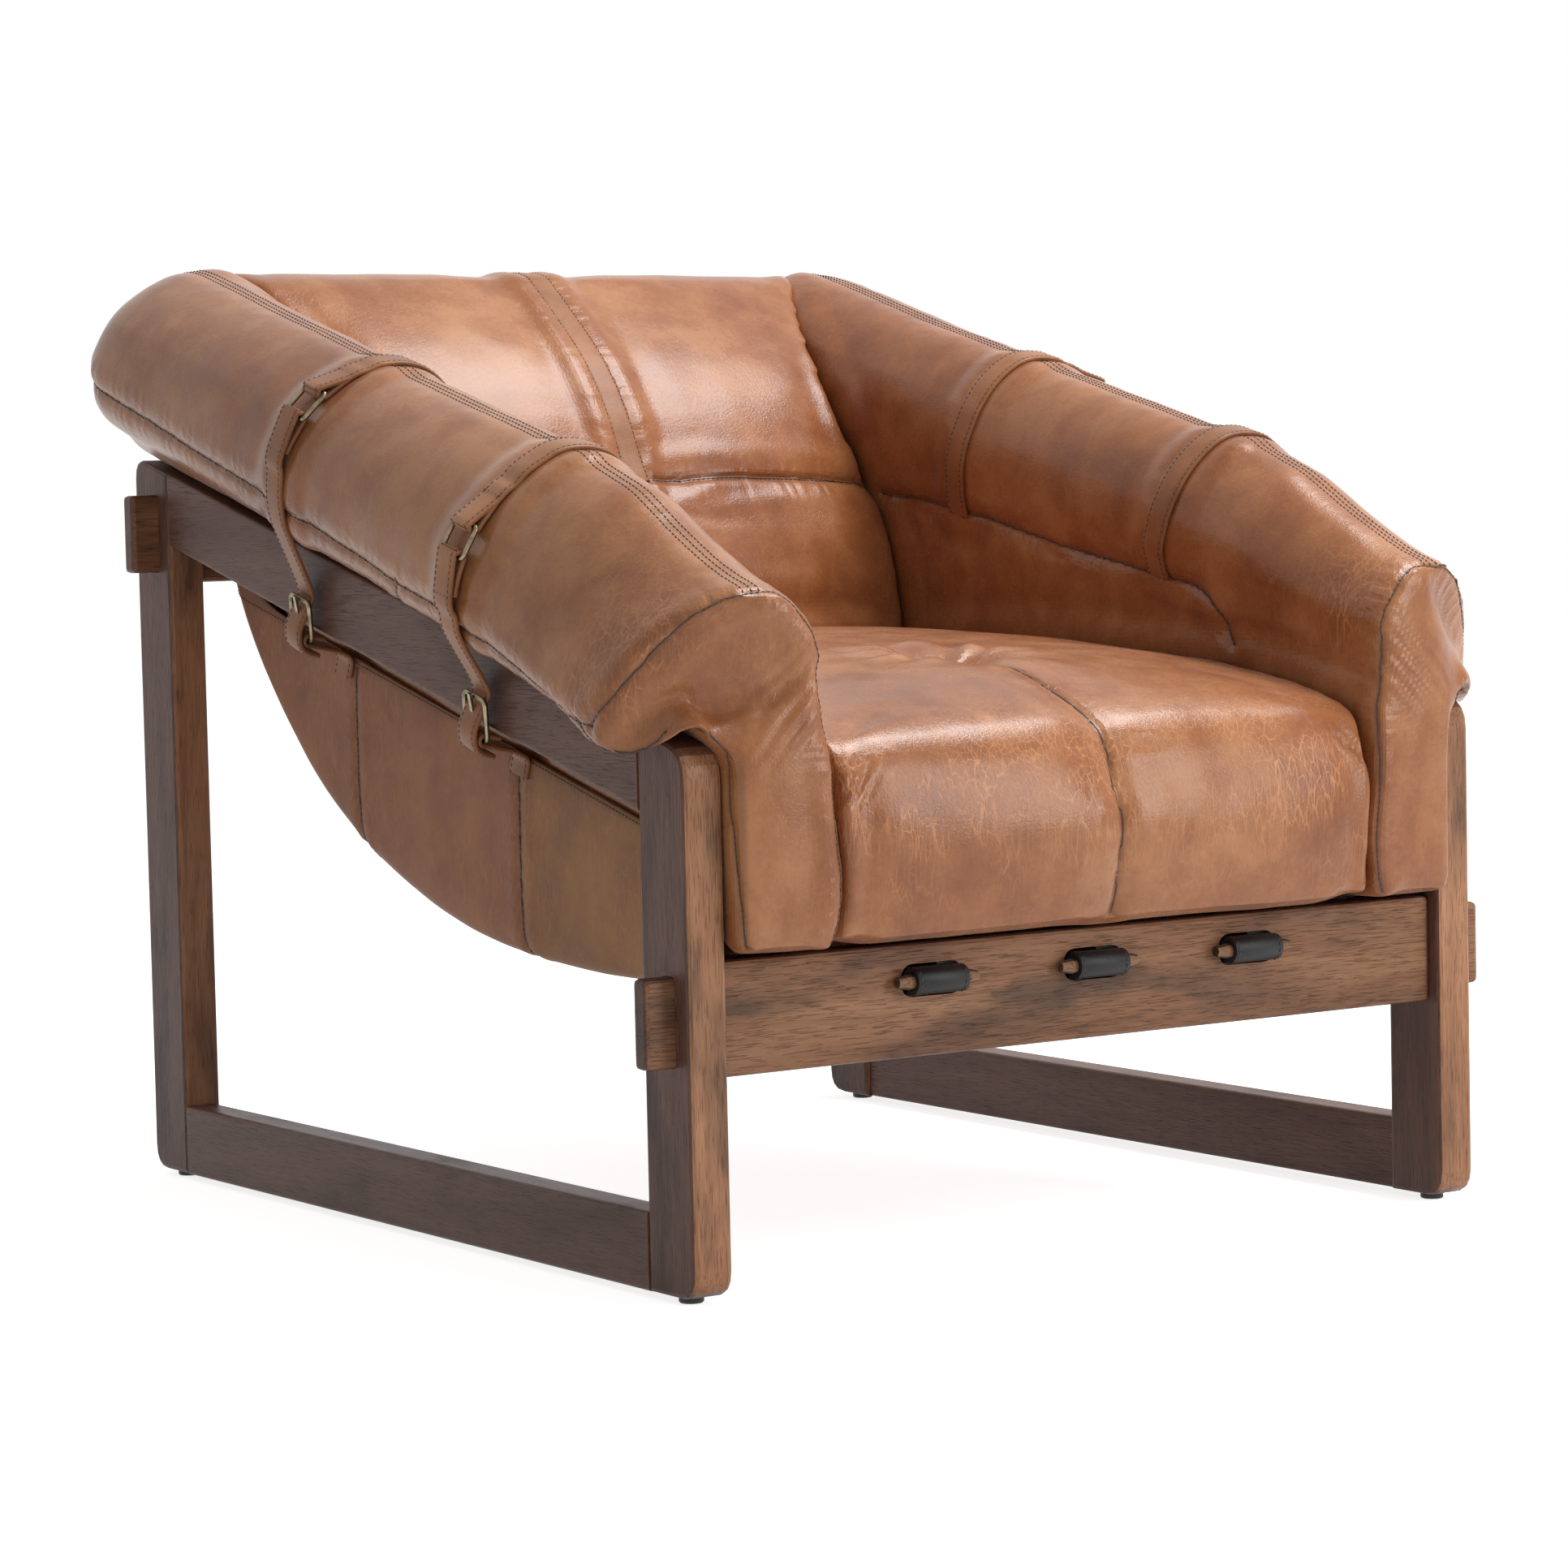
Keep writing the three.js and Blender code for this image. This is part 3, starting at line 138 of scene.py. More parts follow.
class Paint:
    """A material with one Principled shader, and the method that adds its nodes."""

    def __init__(self, name, roughness=0.5, metallic=0.0, specular=0.5, sheen=0.0):
        self.material = bpy.data.materials.new(name)
        self.material.use_nodes = True
        self.tree = self.material.node_tree
        self.shader = self.tree.nodes["Principled BSDF"]
        constants = {"Roughness": roughness, "Metallic": metallic, "Specular IOR Level": specular,
                     "Sheen Weight": sheen, "Sheen Roughness": SHEEN_ROUGHNESS}
        for socket, value in constants.items():
            self.shader.inputs[socket].default_value = value
        self.place = self.node("ShaderNodeTexCoord", {}, {}, "Object")

    def node(self, kind, settings, sockets, output):
        made = self.tree.nodes.new(kind)
        for key, value in settings.items():
            if key == "stops":
                for stop, (place, colour) in zip(self.ramp_stops(made, len(value)), value):
                    stop.position = place
                    stop.color = (*colour, 1)
            else:
                setattr(made, key, value)
        for key, value in sockets.items():
            self.feed(made.inputs[key], value)
        return Wire(self, made.outputs[output])

    @staticmethod
    def ramp_stops(made, count):
        elements = made.color_ramp.elements
        while len(elements) < count:
            elements.new(1.0)
        return elements

    def feed(self, socket, value):
        if isinstance(value, Wire):
            self.tree.links.new(value.socket, socket)
        elif socket.type == "RGBA":
            socket.default_value = (*value, 1)
        else:
            socket.default_value = value

    def stretched(self, turn=(0, 0, 0), scale=(1, 1, 1)):
        sockets = {"Vector": self.place, "Rotation": turn, "Scale": scale}
        return self.node("ShaderNodeMapping", {}, sockets, "Vector")

    def cloud(self, scale, detail=3.0, rough=0.5, bend=0.0, at=None):
        sockets = {"Vector": at or self.place, "Scale": scale, "Detail": detail,
                   "Roughness": rough, "Distortion": bend}
        return self.node("ShaderNodeTexNoise", {}, sockets, "Fac")

    def cells(self, scale, feature, at=None):
        sockets = {"Vector": at or self.place, "Scale": scale}
        return self.node("ShaderNodeTexVoronoi", {"feature": feature}, sockets, "Distance")

    def mark(self, name):
        return self.node("ShaderNodeAttribute", {"attribute_name": name}, {}, "Fac")

    def ramp(self, tone, places, colours):
        stops = list(zip(places, colours))
        return self.node("ShaderNodeValToRGB", {"stops": stops}, {"Fac": tone}, "Color")

    def mixed(self, share, first, second, blend="MIX"):
        """A Mix node's colour sockets share their names with its other ones, so they go by number."""
        settings = {"data_type": "RGBA", "blend_type": blend}
        return self.node("ShaderNodeMix", settings, {0: share, 6: first, 7: second}, 2)

    def relief(self, height, depth):
        sockets = {"Height": height, "Distance": depth, "Strength": 1.0}
        return self.node("ShaderNodeBump", {}, sockets, "Normal")

    def finish(self, colour, roughness, normal):
        for socket, value in (("Base Color", colour), ("Roughness", roughness), ("Normal", normal)):
            self.feed(self.shader.inputs[socket], value)
        return self.material


# %% [markdown]
# ## Leather
# Waxed leather is pale where it is pulled and dark where it is handled, so its colour drifts over
# a hand's width and again over a thumb's. The grain is a net of cells a millimetre or two across,
# and worn places have pale hairlines that cross at a steep slant. Marks painted on the mesh steer
# this: "worn" where leather is stretched and rubbed, "seam" in the shadow of a sewn line, and
# "panel" where a neighbouring hide has another tone.

# %% Leather finishes
FRONT_HIDE = (0.95, 1.08, 0.9)
SEAM_SHADE = (0.05, 0.018, 0.008)
HAIRLINE = 0.065
HAIRLINE_PALER = 1.3
LONG_CELLS = (1, 1, 0.16)
STIRRED = (0.006, 0.006, 0.006)
LEATHER_RELIEF = 0.00032


def hairlines(paint, turn, scale):
    """Thin lines between long slanting cells."""
    stir = paint.node("ShaderNodeTexNoise", {}, {"Vector": paint.place, "Scale": 30.0}, "Color")
    sockets = {0: stir, 1: STIRRED, 2: paint.stretched(turn, LONG_CELLS)}
    bend = paint.node("ShaderNodeVectorMath", {"operation": "MULTIPLY_ADD"}, sockets, "Vector")
    return 1 - paint.cells(scale, "DISTANCE_TO_EDGE", bend).between(0.0, HAIRLINE)


def leather(name, deep, middle, pale, crack, gloss, specular=0.34, sheen=0.14):
    paint = Paint(name, roughness=gloss, specular=specular, sheen=sheen)
    drift = paint.cloud(4.5, 2.0, 0.5, 0.4)
    patch = paint.cloud(26.0, 4.0, 0.56, 0.3)
    speck = paint.cloud(240.0, 3.0, 0.6)
    tone = drift * 0.48 + patch * 0.4 + speck * 0.12
    colour = paint.ramp(tone, (0.37, 0.5, 0.63), (deep, middle, pale))
    colour = paint.mixed(paint.mark("panel"), colour, FRONT_HIDE, "MULTIPLY")
    gate = paint.cloud(15.0, 4.0, 0.6, 0.5).between(0.4, 0.58)
    slant = hairlines(paint, (0.3, 0.35, 0.0), 150.0) * 0.75
    cross = hairlines(paint, (-0.35, -0.25, 0.4), 200.0) * 0.6
    lines = (slant + cross) * gate * paint.mark("worn")
    colour = paint.mixed(lines * crack, colour, [HAIRLINE_PALER * c for c in pale])
    colour = paint.mixed(paint.mark("seam") * 0.55, colour, SEAM_SHADE)
    grain = paint.cells(620.0, "SMOOTH_F1")
    crease = paint.cells(210.0, "DISTANCE_TO_EDGE").between(0.0, 0.12)
    pull = paint.cloud(95.0, 5.0, 0.62)
    height = grain * 0.22 + crease * 0.12 + pull * 0.4 - lines * 0.1
    rough = patch * 0.16 + speck * 0.08 + (gloss - 0.12)
    return paint.finish(colour, rough, paint.relief(height, LEATHER_RELIEF))


tan_leather = leather("tan_leather", (0.22, 0.067, 0.021), (0.305, 0.108, 0.037),
                      (0.405, 0.172, 0.07), 0.9, 0.27)
under_leather = leather("under_leather", (0.2, 0.073, 0.034), (0.295, 0.117, 0.056),
                        (0.39, 0.172, 0.085), 0.5, 0.5, 0.2, 0.0)
strap_leather = leather("strap_leather", (0.2, 0.077, 0.031), (0.29, 0.117, 0.047),
                        (0.385, 0.168, 0.076), 0.3, 0.42, 0.25)
black_leather = leather("black_leather", (0.008, 0.007, 0.008), (0.013, 0.012, 0.013),
                        (0.03, 0.027, 0.027), 0.0, 0.45, 0.27, 0.0)
print("leathers", tan_leather.name, under_leather.name, strap_leather.name, black_leather.name)

# %% [markdown]
# ## Wood
# The way a face points decides its colour: faces that point forwards or back are warm brown, as
# painted light, and all other faces are dark, as painted shade. Dark smoky smudges lie over them.
# Grain runs along each piece, so the pattern is stretched that way, with short dark pores. Edges are
# found by comparing the true normal with one that has been rounded off, and are rubbed paler.

# %% Wood finishes
# The first tones are painted shade for faces that point sideways, up or down; the three sets after them
# are painted light for faces that point forwards or back.
SHADED_WOOD = ((0.078, 0.034, 0.024), (0.132, 0.062, 0.044), (0.19, 0.098, 0.071))
LIT_WOOD = ((0.135, 0.057, 0.029), (0.255, 0.119, 0.06), (0.37, 0.19, 0.101))
LEG_LIT_WOOD = [[1.35 * c for c in tone] for tone in LIT_WOOD]
DOWEL_WOOD = ((0.17, 0.085, 0.045), (0.27, 0.145, 0.08), (0.36, 0.2, 0.115))
# Smoky smudges on the wood, and painted shade on the dowel's ends, top and underside.
SMUDGE_AND_SHADE = (0.04, 0.026, 0.021)
PORE = (0.03, 0.017, 0.012)
LENGTHWISE = {"up": (0, 0, 1), "across": (1, 0, 0), "back": (0, 1, 0), "slope": (0, 1, 0)}
EDGE_RADIUS = 0.007
WOOD_RELIEF = 0.0004


def wood(name, along, sides, lit_fronts, smudge, gloss=0.4):
    paint = Paint(name, roughness=gloss, specular=0.2)
    turn = (-SLOPE if along == "slope" else 0, 0, 0)

    def run(stretch):
        return paint.stretched(turn, [1 - (1 - stretch) * way for way in LENGTHWISE[along]])

    figure = paint.cloud(34.0, 5.0, 0.6, 0.4, run(0.09))
    fibre = paint.cloud(520.0, 3.0, 0.6, 0.1, run(0.05))
    pores = paint.cloud(1300.0, 2.0, 0.5, 0.0, run(0.035)).between(0.58, 0.66)
    tone = figure * 0.72 + fibre * 0.28
    true_normal = paint.node("ShaderNodeNewGeometry", {}, {}, "Normal")
    forwards = paint.node("ShaderNodeSeparateXYZ", {}, {"Vector": true_normal}, "Y")
    # Faces that point forwards or back get the lit tones and all others the shaded tones: painted light
    # and painted shade.
    front = (forwards * forwards).between(0.2, 0.7)
    colour = paint.mixed(front, *(paint.ramp(tone, (0.3, 0.5, 0.7), tones) for tones in (sides, lit_fronts)))
    rounded = paint.node("ShaderNodeBevel", {"samples": 4}, {"Radius": EDGE_RADIUS}, "Normal")
    facing = paint.node("ShaderNodeVectorMath", {"operation": "DOT_PRODUCT"},
                        {0: rounded, 1: true_normal}, "Value")
    edge = (1 - facing).between(0.01, 0.25)
    drift = paint.cloud(17.0, 4.0, 0.56, 0.3, run(0.33))
    wear = paint.cloud(70.0, 3.0, 0.6, 0.0, run(0.15))
    handled = (drift * 0.88 + wear * 0.12).between(0.47, 0.68)
    colour = paint.mixed(handled * smudge, colour, SMUDGE_AND_SHADE)
    colour = paint.mixed(pores * 0.4, colour, PORE)
    rubbed = edge * paint.cloud(42.0, 3.0, 0.6).between(0.42, 0.62)
    colour = paint.mixed(rubbed * 0.4, colour, lit_fronts[2])
    normal = paint.relief(fibre * 0.6 - pores * 0.8 + figure * 0.3, WOOD_RELIEF)
    rough = fibre * 0.16 + handled * 0.08 + (gloss - 0.1)
    return paint.finish(colour, rough, normal)


walnut_up = wood("walnut_up", "up", SHADED_WOOD, LEG_LIT_WOOD, 0.8)
walnut_back = wood("walnut_back", "back", SHADED_WOOD, LIT_WOOD, 0.5)
walnut_slope = wood("walnut_slope", "slope", SHADED_WOOD, LIT_WOOD, 0.5)
walnut_across = wood("walnut_across", "across", SHADED_WOOD, LIT_WOOD, 0.6)
rail_walnut = wood("rail_walnut", "across", SHADED_WOOD, LIT_WOOD, 0.78)
# The dowel's ends, top and underside take the smudge colour as painted shade.
dowel_wood = wood("dowel_wood", "across", (SMUDGE_AND_SHADE, SMUDGE_AND_SHADE, SMUDGE_AND_SHADE), DOWEL_WOOD, 0.15, 0.5)
print("woods", [m.name for m in (walnut_up, walnut_back, walnut_slope, walnut_across, rail_walnut)])

# %% [markdown]
# ## Brass, plastic and thread
# The rings and buckles are old brass, bright in some places and brown in others. The glides
# are plain dark plastic, and the thread is waxed, so it is dark with a little shine.


# %% Small finishes
def aged_brass():
    paint = Paint("antique_brass", roughness=0.32, metallic=1.0)
    tarnish = paint.cloud(120.0, 4.0, 0.6, 0.4).between(0.42, 0.68)
    scratch = paint.cloud(900.0, 2.0, 0.6)
    colour = paint.mixed(tarnish, (0.27, 0.22, 0.145), (0.13, 0.105, 0.07))
    return paint.finish(colour, tarnish * 0.22 + scratch * 0.12 + 0.2, paint.relief(scratch, 0.0001))


def speckled(name, dark, pale, scale, gloss):
    paint = Paint(name, roughness=gloss)
    speck = paint.cloud(scale, 4.0, 0.65)
    colour = paint.mixed(speck.between(0.35, 0.7), dark, pale)
    return paint.finish(colour, speck * 0.2 + (gloss - 0.1), paint.relief(speck, 0.0002))


antique_brass = aged_brass()
glide_plastic = speckled("glide_plastic", (0.012, 0.012, 0.012), (0.03, 0.03, 0.03), 400.0, 0.55)
thread = speckled("waxed_thread", (0.035, 0.018, 0.012), (0.075, 0.04, 0.026), 900.0, 0.55)
print("small finishes", antique_brass.name, glide_plastic.name, thread.name)

# %% [markdown]
# ## Floor and light
# A plain white floor and a white surround, as in a studio. A tall soft lamp stands in front of the
# chair on its far side, so the seat front and the facings catch it, and a second one hangs above
# for the back and the top of the seat. The near side of the chair is lit only by the surround. The
# floor looks white to the camera and still takes a shadow.

# %% Floor, surround and lamps
WHITE = (1, 1, 1, 1)
FLOOR_GREY = (0.82, 0.82, 0.82, 1)
FLOOR_REACH, FLOOR_GLOW = 9.0, 0.8
SURROUND_LEVEL = 0.38


def added(tree, kind, *sources, **values):
    """Adds a node, links the sources to its first inputs and returns its first output."""
    made = tree.nodes.new(kind)
    for source, socket in zip(sources, made.inputs):
        tree.links.new(source, socket)
    for name, value in values.items():
        made.inputs[name].default_value = value
    return made.outputs[0]


def only_seen_by_lens(tree):
    """1 for rays from the lens and for what metal reflects, 0 for light that falls on the chair."""
    path = tree.nodes.new("ShaderNodeLightPath")
    total = path.outputs["Is Camera Ray"]
    for name in ("Is Glossy Ray", "Is Transmission Ray"):
        total = added(tree, "ShaderNodeMath", total, path.outputs[name])
        total.node.operation = "MAXIMUM"
    return total


def studio_floor(reach, glow):
    mesh = bpy.data.meshes.new("studio_floor")
    corners = [(-reach, -reach, 0), (reach, -reach, 0), (reach, reach, 0), (-reach, reach, 0)]
    mesh.from_pydata(corners, [], [(0, 1, 2, 3)])
    floor = linked("studio_floor", mesh)
    material = bpy.data.materials.new("studio_floor")
    material.use_nodes = True
    tree = material.node_tree
    tree.nodes.remove(tree.nodes["Principled BSDF"])
    matt = added(tree, "ShaderNodeBsdfDiffuse", Color=FLOOR_GREY)
    bright = added(tree, "ShaderNodeEmission", Strength=glow)
    both = added(tree, "ShaderNodeAddShader", matt, bright)
    choice = added(tree, "ShaderNodeMixShader", only_seen_by_lens(tree), matt, both)
    tree.links.new(choice, tree.nodes["Material Output"].inputs["Surface"])
    mesh.materials.append(material)


def studio_surround(level):
    world = bpy.data.worlds.new("studio_surround")
    scene.world = world
    world.use_nodes = True
    tree = world.node_tree
    lit = tree.nodes["Background"]
    lit.inputs["Color"].default_value = WHITE
    lit.inputs["Strength"].default_value = level
    white = added(tree, "ShaderNodeBackground", Color=WHITE)
    choice = added(tree, "ShaderNodeMixShader", only_seen_by_lens(tree), lit.outputs[0], white)
    tree.links.new(choice, tree.nodes["World Output"].inputs["Surface"])


def soft_lamp(name, place, aim, size, power):
    data = bpy.data.lights.new(name, "AREA")
    data.shape = "RECTANGLE"
    data.size, data.size_y = size
    data.energy = power
    lamp = linked(name, data)
    lamp.location = place
    lamp.rotation_euler = (Vector(aim) - Vector(place)).to_track_quat("-Z", "Y").to_euler()


studio_floor(FLOOR_REACH, FLOOR_GLOW)
studio_surround(SURROUND_LEVEL)
soft_lamp("front_lamp", (1.6, -2.8, 1.4), (0, 0, 0.45), (0.9, 2.0), 39)
soft_lamp("top_lamp", (1.1, -0.5, 3.0), (0, 0, 0.5), (1.6, 1.3), 83)

# %% [markdown]
# ## Working on copies of the solids
# Each leather piece begins as a copy of its solid, so it is in the right place from the start. The
# solids come as loose triangles, so a copy is merged before anything else is done to it.

# %% Copies, points and names
MERGED_WITHIN = 2e-6


@contextmanager
def reshaped(mesh):
    """Opens a mesh for bmesh tools and writes the result back."""
    form = bmesh.new()
    form.from_mesh(mesh)
    yield form
    form.to_mesh(mesh)
    form.free()


def merged_copy(node, name):
    mesh = nodes[node].data.copy()
    mesh.materials.clear()
    with reshaped(mesh) as form:
        bmesh.ops.remove_doubles(form, verts=form.verts, dist=MERGED_WITHIN)
    mesh.name = name
    return linked(name, mesh)


def evaluated(piece):
    return piece.evaluated_get(bpy.context.evaluated_depsgraph_get())


def settled(piece):
    """Turns a piece's modifiers into plain mesh."""
    mesh = bpy.data.meshes.new_from_object(evaluated(piece))
    old = piece.data
    piece.modifiers.clear()
    piece.data = mesh
    bpy.data.meshes.remove(old)
    mesh.name = piece.name
    return piece


def subdivided(piece, levels):
    finer = piece.modifiers.new("finer", "SUBSURF")
    finer.levels = finer.render_levels = levels
    return settled(piece)


def smooth_shaded(mesh):
    for face in mesh.polygons:
        face.use_smooth = True


def vectors_of(elements, name):
    flat = np.empty(len(elements) * 3)
    elements.foreach_get(name, flat)
    return flat.reshape(-1, 3)


def points_of(mesh):
    return vectors_of(mesh.vertices, "co")


def pushed(mesh, points, rise):
    """Points moved along the mesh's normals, each by its own rise."""
    return points + vectors_of(mesh.vertex_normals, "vector") * rise[:, None]


def place_points(mesh, points):
    mesh.vertices.foreach_set("co", np.ascontiguousarray(points, dtype=np.float32).ravel())
    mesh.update()


def surface_tree(meshes):
    points, faces = [], []
    for mesh in meshes:
        first = len(points)
        points.extend(v.co.copy() for v in mesh.vertices)
        faces.extend([first + i for i in face.vertices] for face in mesh.polygons)
    return BVHTree.FromPolygons(points, faces)


def paint_mark(mesh, name, values):
    layer = mesh.attributes.get(name) or mesh.attributes.new(name, "FLOAT", "POINT")
    layer.data.foreach_set("value", np.ascontiguousarray(values, dtype=np.float32))


def dressed(piece, material, slot, *replaced):
    piece.data.materials.clear()
    piece.data.materials.append(material)
    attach(piece, ROOT)
    if replaced:
        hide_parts(*replaced)
    return piece


# %% [markdown]
# ## Padding
# A cushion is a bag that filling pushes outwards. It starts a little smaller than its solid, is
# remeshed to even squares and blown up as cloth under pressure. Where another piece touches it, such
# as a strap, a rail or the next cushion, its points are held still, so straps sink into the padding.
# No point may move further than a set limit, and then one subdivision smooths the result.

# %% Blow up a cushion
SQUARES = 0.0068
EASE_PASSES = 6
HELD_NEAR, HELD_FAR = 0.005, 0.03
HARDLY_HELD = 0.01
SWELL_FRAMES = 20
SWELL_CLOTH = {
    "quality": 4, "mass": 0.4, "tension_stiffness": 30, "compression_stiffness": 30,
    "shear_stiffness": 15, "bending_stiffness": 4, "use_pressure": True,
    "uniform_pressure_force": 4.0, "vertex_group_mass": "held",
}


def held_by_neighbours(points, node):
    tree = surface_tree([nodes[n].data for n in nodes if n != node])
    gaps = np.array([tree.find_nearest(Vector(p))[3] for p in points])
    ramp = np.clip((HELD_FAR - gaps) / (HELD_FAR - HELD_NEAR), 0, 1)
    return ramp * ramp * (3 - 2 * ramp)


def evened(piece):
    grid = piece.modifiers.new("even_squares", "REMESH")
    grid.mode = "VOXEL"
    grid.voxel_size = SQUARES
    ease = piece.modifiers.new("ease", "SMOOTH")
    ease.factor = 0.5
    ease.iterations = EASE_PASSES
    return settled(piece)


def blown_up(piece, start, held, limit):
    """Where the points of a cushion are when the cloth has swelled."""
    group = piece.vertex_groups.new(name="held")
    for index in np.nonzero(held > HARDLY_HELD)[0]:
        group.add([int(index)], float(held[index]), "REPLACE")
    cloth = piece.modifiers.new("swell", "CLOTH")
    for key, value in SWELL_CLOTH.items():
        setattr(cloth.settings, key, value)
    cloth.settings.effector_weights.gravity = 0
    cloth.point_cache.frame_start = 1
    cloth.point_cache.frame_end = SWELL_FRAMES
    for step in range(1, SWELL_FRAMES + 1):
        scene.frame_set(step)
    move = points_of(evaluated(piece).data) - start
    length = np.linalg.norm(move, axis=1)
    piece.modifiers.clear()
    piece.vertex_groups.clear()
    scene.frame_set(1)
    print(piece.name, "swelled by", round(float(length.mean()) / MM, 1), "mm on average")
    return start + move * np.minimum(1, limit / np.maximum(length, 1e-9))[:, None]


def swollen(node, name, shrink, limit):
    piece = evened(merged_copy(node, name))
    mesh = piece.data
    start = points_of(mesh)
    held = held_by_neighbours(start, node)
    start = pushed(mesh, start, (held - 1) * shrink)
    place_points(mesh, start)
    place_points(mesh, blown_up(piece, start, held, limit))
    return subdivided(piece, 1)


# %% [markdown]
# ## Seams
# A seam pulls the leather down into a narrow groove, and the padding stands up a little on both
# sides. A route is a few points that a smooth curve goes through; each point of the curve is then
# moved to the nearest place on the cushion, so the same route gives the groove and the stitches.

# %% Seam routes and grooves
ALONG = Vector((0, math.cos(SLOPE), math.sin(SLOPE)))
SQUARE = Vector((0, -math.sin(SLOPE), math.cos(SLOPE)))
RAIL_MIDDLE = Vector((0, -0.013109, 0.496))
ROUTE_STEP = 0.003
PUCKER_PITCH, PUCKER_AT, PUCKER_REACH = 0.017, 0.009, 0.012
PUCKER_WAVERS = ((0.006, 61), (0.004, 143))  # how far and how often the pitch wanders
SHADE_CORD_SINK, STITCH_LIFT = 0.0003, 0.0002
shade_cord_lines, seam_lines = [], []


def by_rail(u, s, n):
    """A point u across, s along the sloping arm rail and n square to it, in millimetres."""
    return RAIL_MIDDLE + Vector((u, 0, 0)) * MM + ALONG * s * MM + SQUARE * n * MM


def slope(values, start, end):
    """0 at start, 1 at end and straight between, for an array."""
    return np.clip((values - start) / (end - start), 0, 1)


def hump(values, middle, reach):
    """1 in the middle, falling away smoothly on both sides, for an array."""
    return np.exp(-(((values - middle) / reach) ** 2))


def smooth_route(points, step=ROUTE_STEP):
    """Evenly spaced points on a Catmull-Rom curve through the given ones."""
    ends = [2 * points[0] - points[1], *points, 2 * points[-1] - points[-2]]
    run = []
    for a, b, c, d in zip(ends, ends[1:], ends[2:], ends[3:]):
        count = max(2, int((c - b).length / step))
        for i in range(count):
            t = i / count
            run.append(0.5 * (2 * b + (c - a) * t + (2 * a - 5 * b + 4 * c - d) * t * t
                              + (3 * b - a - 3 * c + d) * t ** 3))
    run.append(points[-1])
    return run


def on_surface(tree, route, lift=0.0):
    laid = []
    for point in route:
        place, normal, _, _ = tree.find_nearest(point)
        laid.append(place + normal * lift)
    return laid


def laid_route(tree, points):
    return on_surface(tree, smooth_route(points))


def sewn(tree, route, sink=SHADE_CORD_SINK):
    """Lays a dark cord in the bottom of a seam as painted shade, and a row of stitches over it."""
    shade_cord_lines.append(on_surface(tree, route, -sink))
    seam_lines.append(on_surface(tree, route, STITCH_LIFT))


def nearest_on(points, routes):
    """Distance of every point from the nearest route, and how far along it that is."""
    tree = kdtree.KDTree(sum(len(r) for r in routes))
    run, index = [], 0
    for route in routes:
        length = 0.0
        for i, point in enumerate(route):
            length += (point - route[i - 1]).length if i else 0.0
            run.append(length)
            tree.insert(point, index)
            index += 1
    tree.balance()
    found = [tree.find(p) for p in points]
    return np.array([f[2] for f in found]), np.array([run[f[1]] for f in found])


def pressed_seams(piece, routes, depth, width, puff, puff_at, pucker=0.0):
    """Sinks a groove along the routes, raises and puckers its sides, and marks its shadow."""
    mesh = piece.data
    points = points_of(mesh)
    gap, along = nearest_on(points, routes)
    waver = along + sum(reach * np.sin(along * waves) for reach, waves in PUCKER_WAVERS)
    rise = puff * hump(gap, puff_at, 0.6 * puff_at) - depth * hump(gap, 0, width)
    rise += pucker * np.sin(2 * np.pi * waver / PUCKER_PITCH) * hump(gap, PUCKER_AT, PUCKER_REACH)
    place_points(mesh, pushed(mesh, points, rise))
    return hump(gap, 0, 0.6 * width)


def rumpled(piece, height, scale, seed, ridge):
    """Soft unevenness of filling under leather, with a finer share on top."""
    mesh = piece.data
    points = points_of(mesh)
    shift = Vector((seed, 2.7 * seed, -1.3 * seed))
    rise = np.array([noise.noise(Vector(p) * scale + shift) for p in points])
    rise += ridge * np.array([noise.noise(Vector(p) * scale * 3.1 - shift) for p in points])
    place_points(mesh, pushed(mesh, points, rise * height))


# %% [markdown]
# ## The arms
# Each arm is one long roll of leather over the sloping rail, cinched by two straps. Four seams
# show: the crown, sewn down flat with three rows of stitches, the front facing, a low seam above the
# rail on the outside and one along the seat. They could be modelled as separate panels, but a
# groove pressed into one padded form keeps the roll even, as filling does under real leather.

# %% Arm seams
CROWN_AT, LOW_AT = 312, 399
CROWN_ROW = 6.5
CROWN = ((486, 60), (470, 118), (440, 146), (390, 156), (200, 158), (0, 157), (-160, 154),
         (-280, 143), (-380, 124), (-424, 114))
LOW_SEAM = ((494, 66), (431, 57), (280, 48), (121, 40), (20, 31), (-80, 23), (-179, 19), (-288, 4),
            (-340, -2), (-372, 2))
FACING = ((404, -372, 2), (394, -393, 34), (378, -406, 60), (353, -421, 95), (331, -425, 111),
          (310, -427, 115), (288, -424, 110), (266, -434, 88), (256, -438, 74), (250, -447, 38),
          (248, -455, 0), (247, -474, -46), (242, -486, -90), (246, -495, -132))
ARCH = ((398, -398, -14), (386, -410, -5), (375, -418, 4), (361, -420, 13), (353, -426, 16),
        (346, -436, 15), (338, -446, 7), (328, -444, -8), (326, -449, -35), (326, -458, -56),
        (326, -466, -81), (326, -479, -114), (326, -486, -138))
BAND_SEAM = ((400, -76, 27), (396, -72, 16), (387, -66, 7), (372, -60, 1))
TIP_SEAM = ((402, -350, 0), (400, -366, -9), (396, -390, -17))
SEAT_SEAM_AT = 0.25
SEAT_SEAM = ((0.193, 0.557), (0.097, 0.544), (0.011, 0.527), (-0.089, 0.507), (-0.169, 0.491),
             (-0.236, 0.479), (-0.262, 0.462), (-0.281, 0.436))
# depth and width of the groove, height and place of the puff beside it, and height of the puckers
FACING_PRESS = (0.0013, 0.0034, 0.0006, 0.014, 0.00025)
LOW_PRESS = (0.0022, 0.0036, 0.001, 0.014, 0.0002)
TRIM_PRESS = (0.0012, 0.003, 0.0004, 0.01)
CROWN_PRESS = (0.001, 0.009, 0.0004, 0.02)
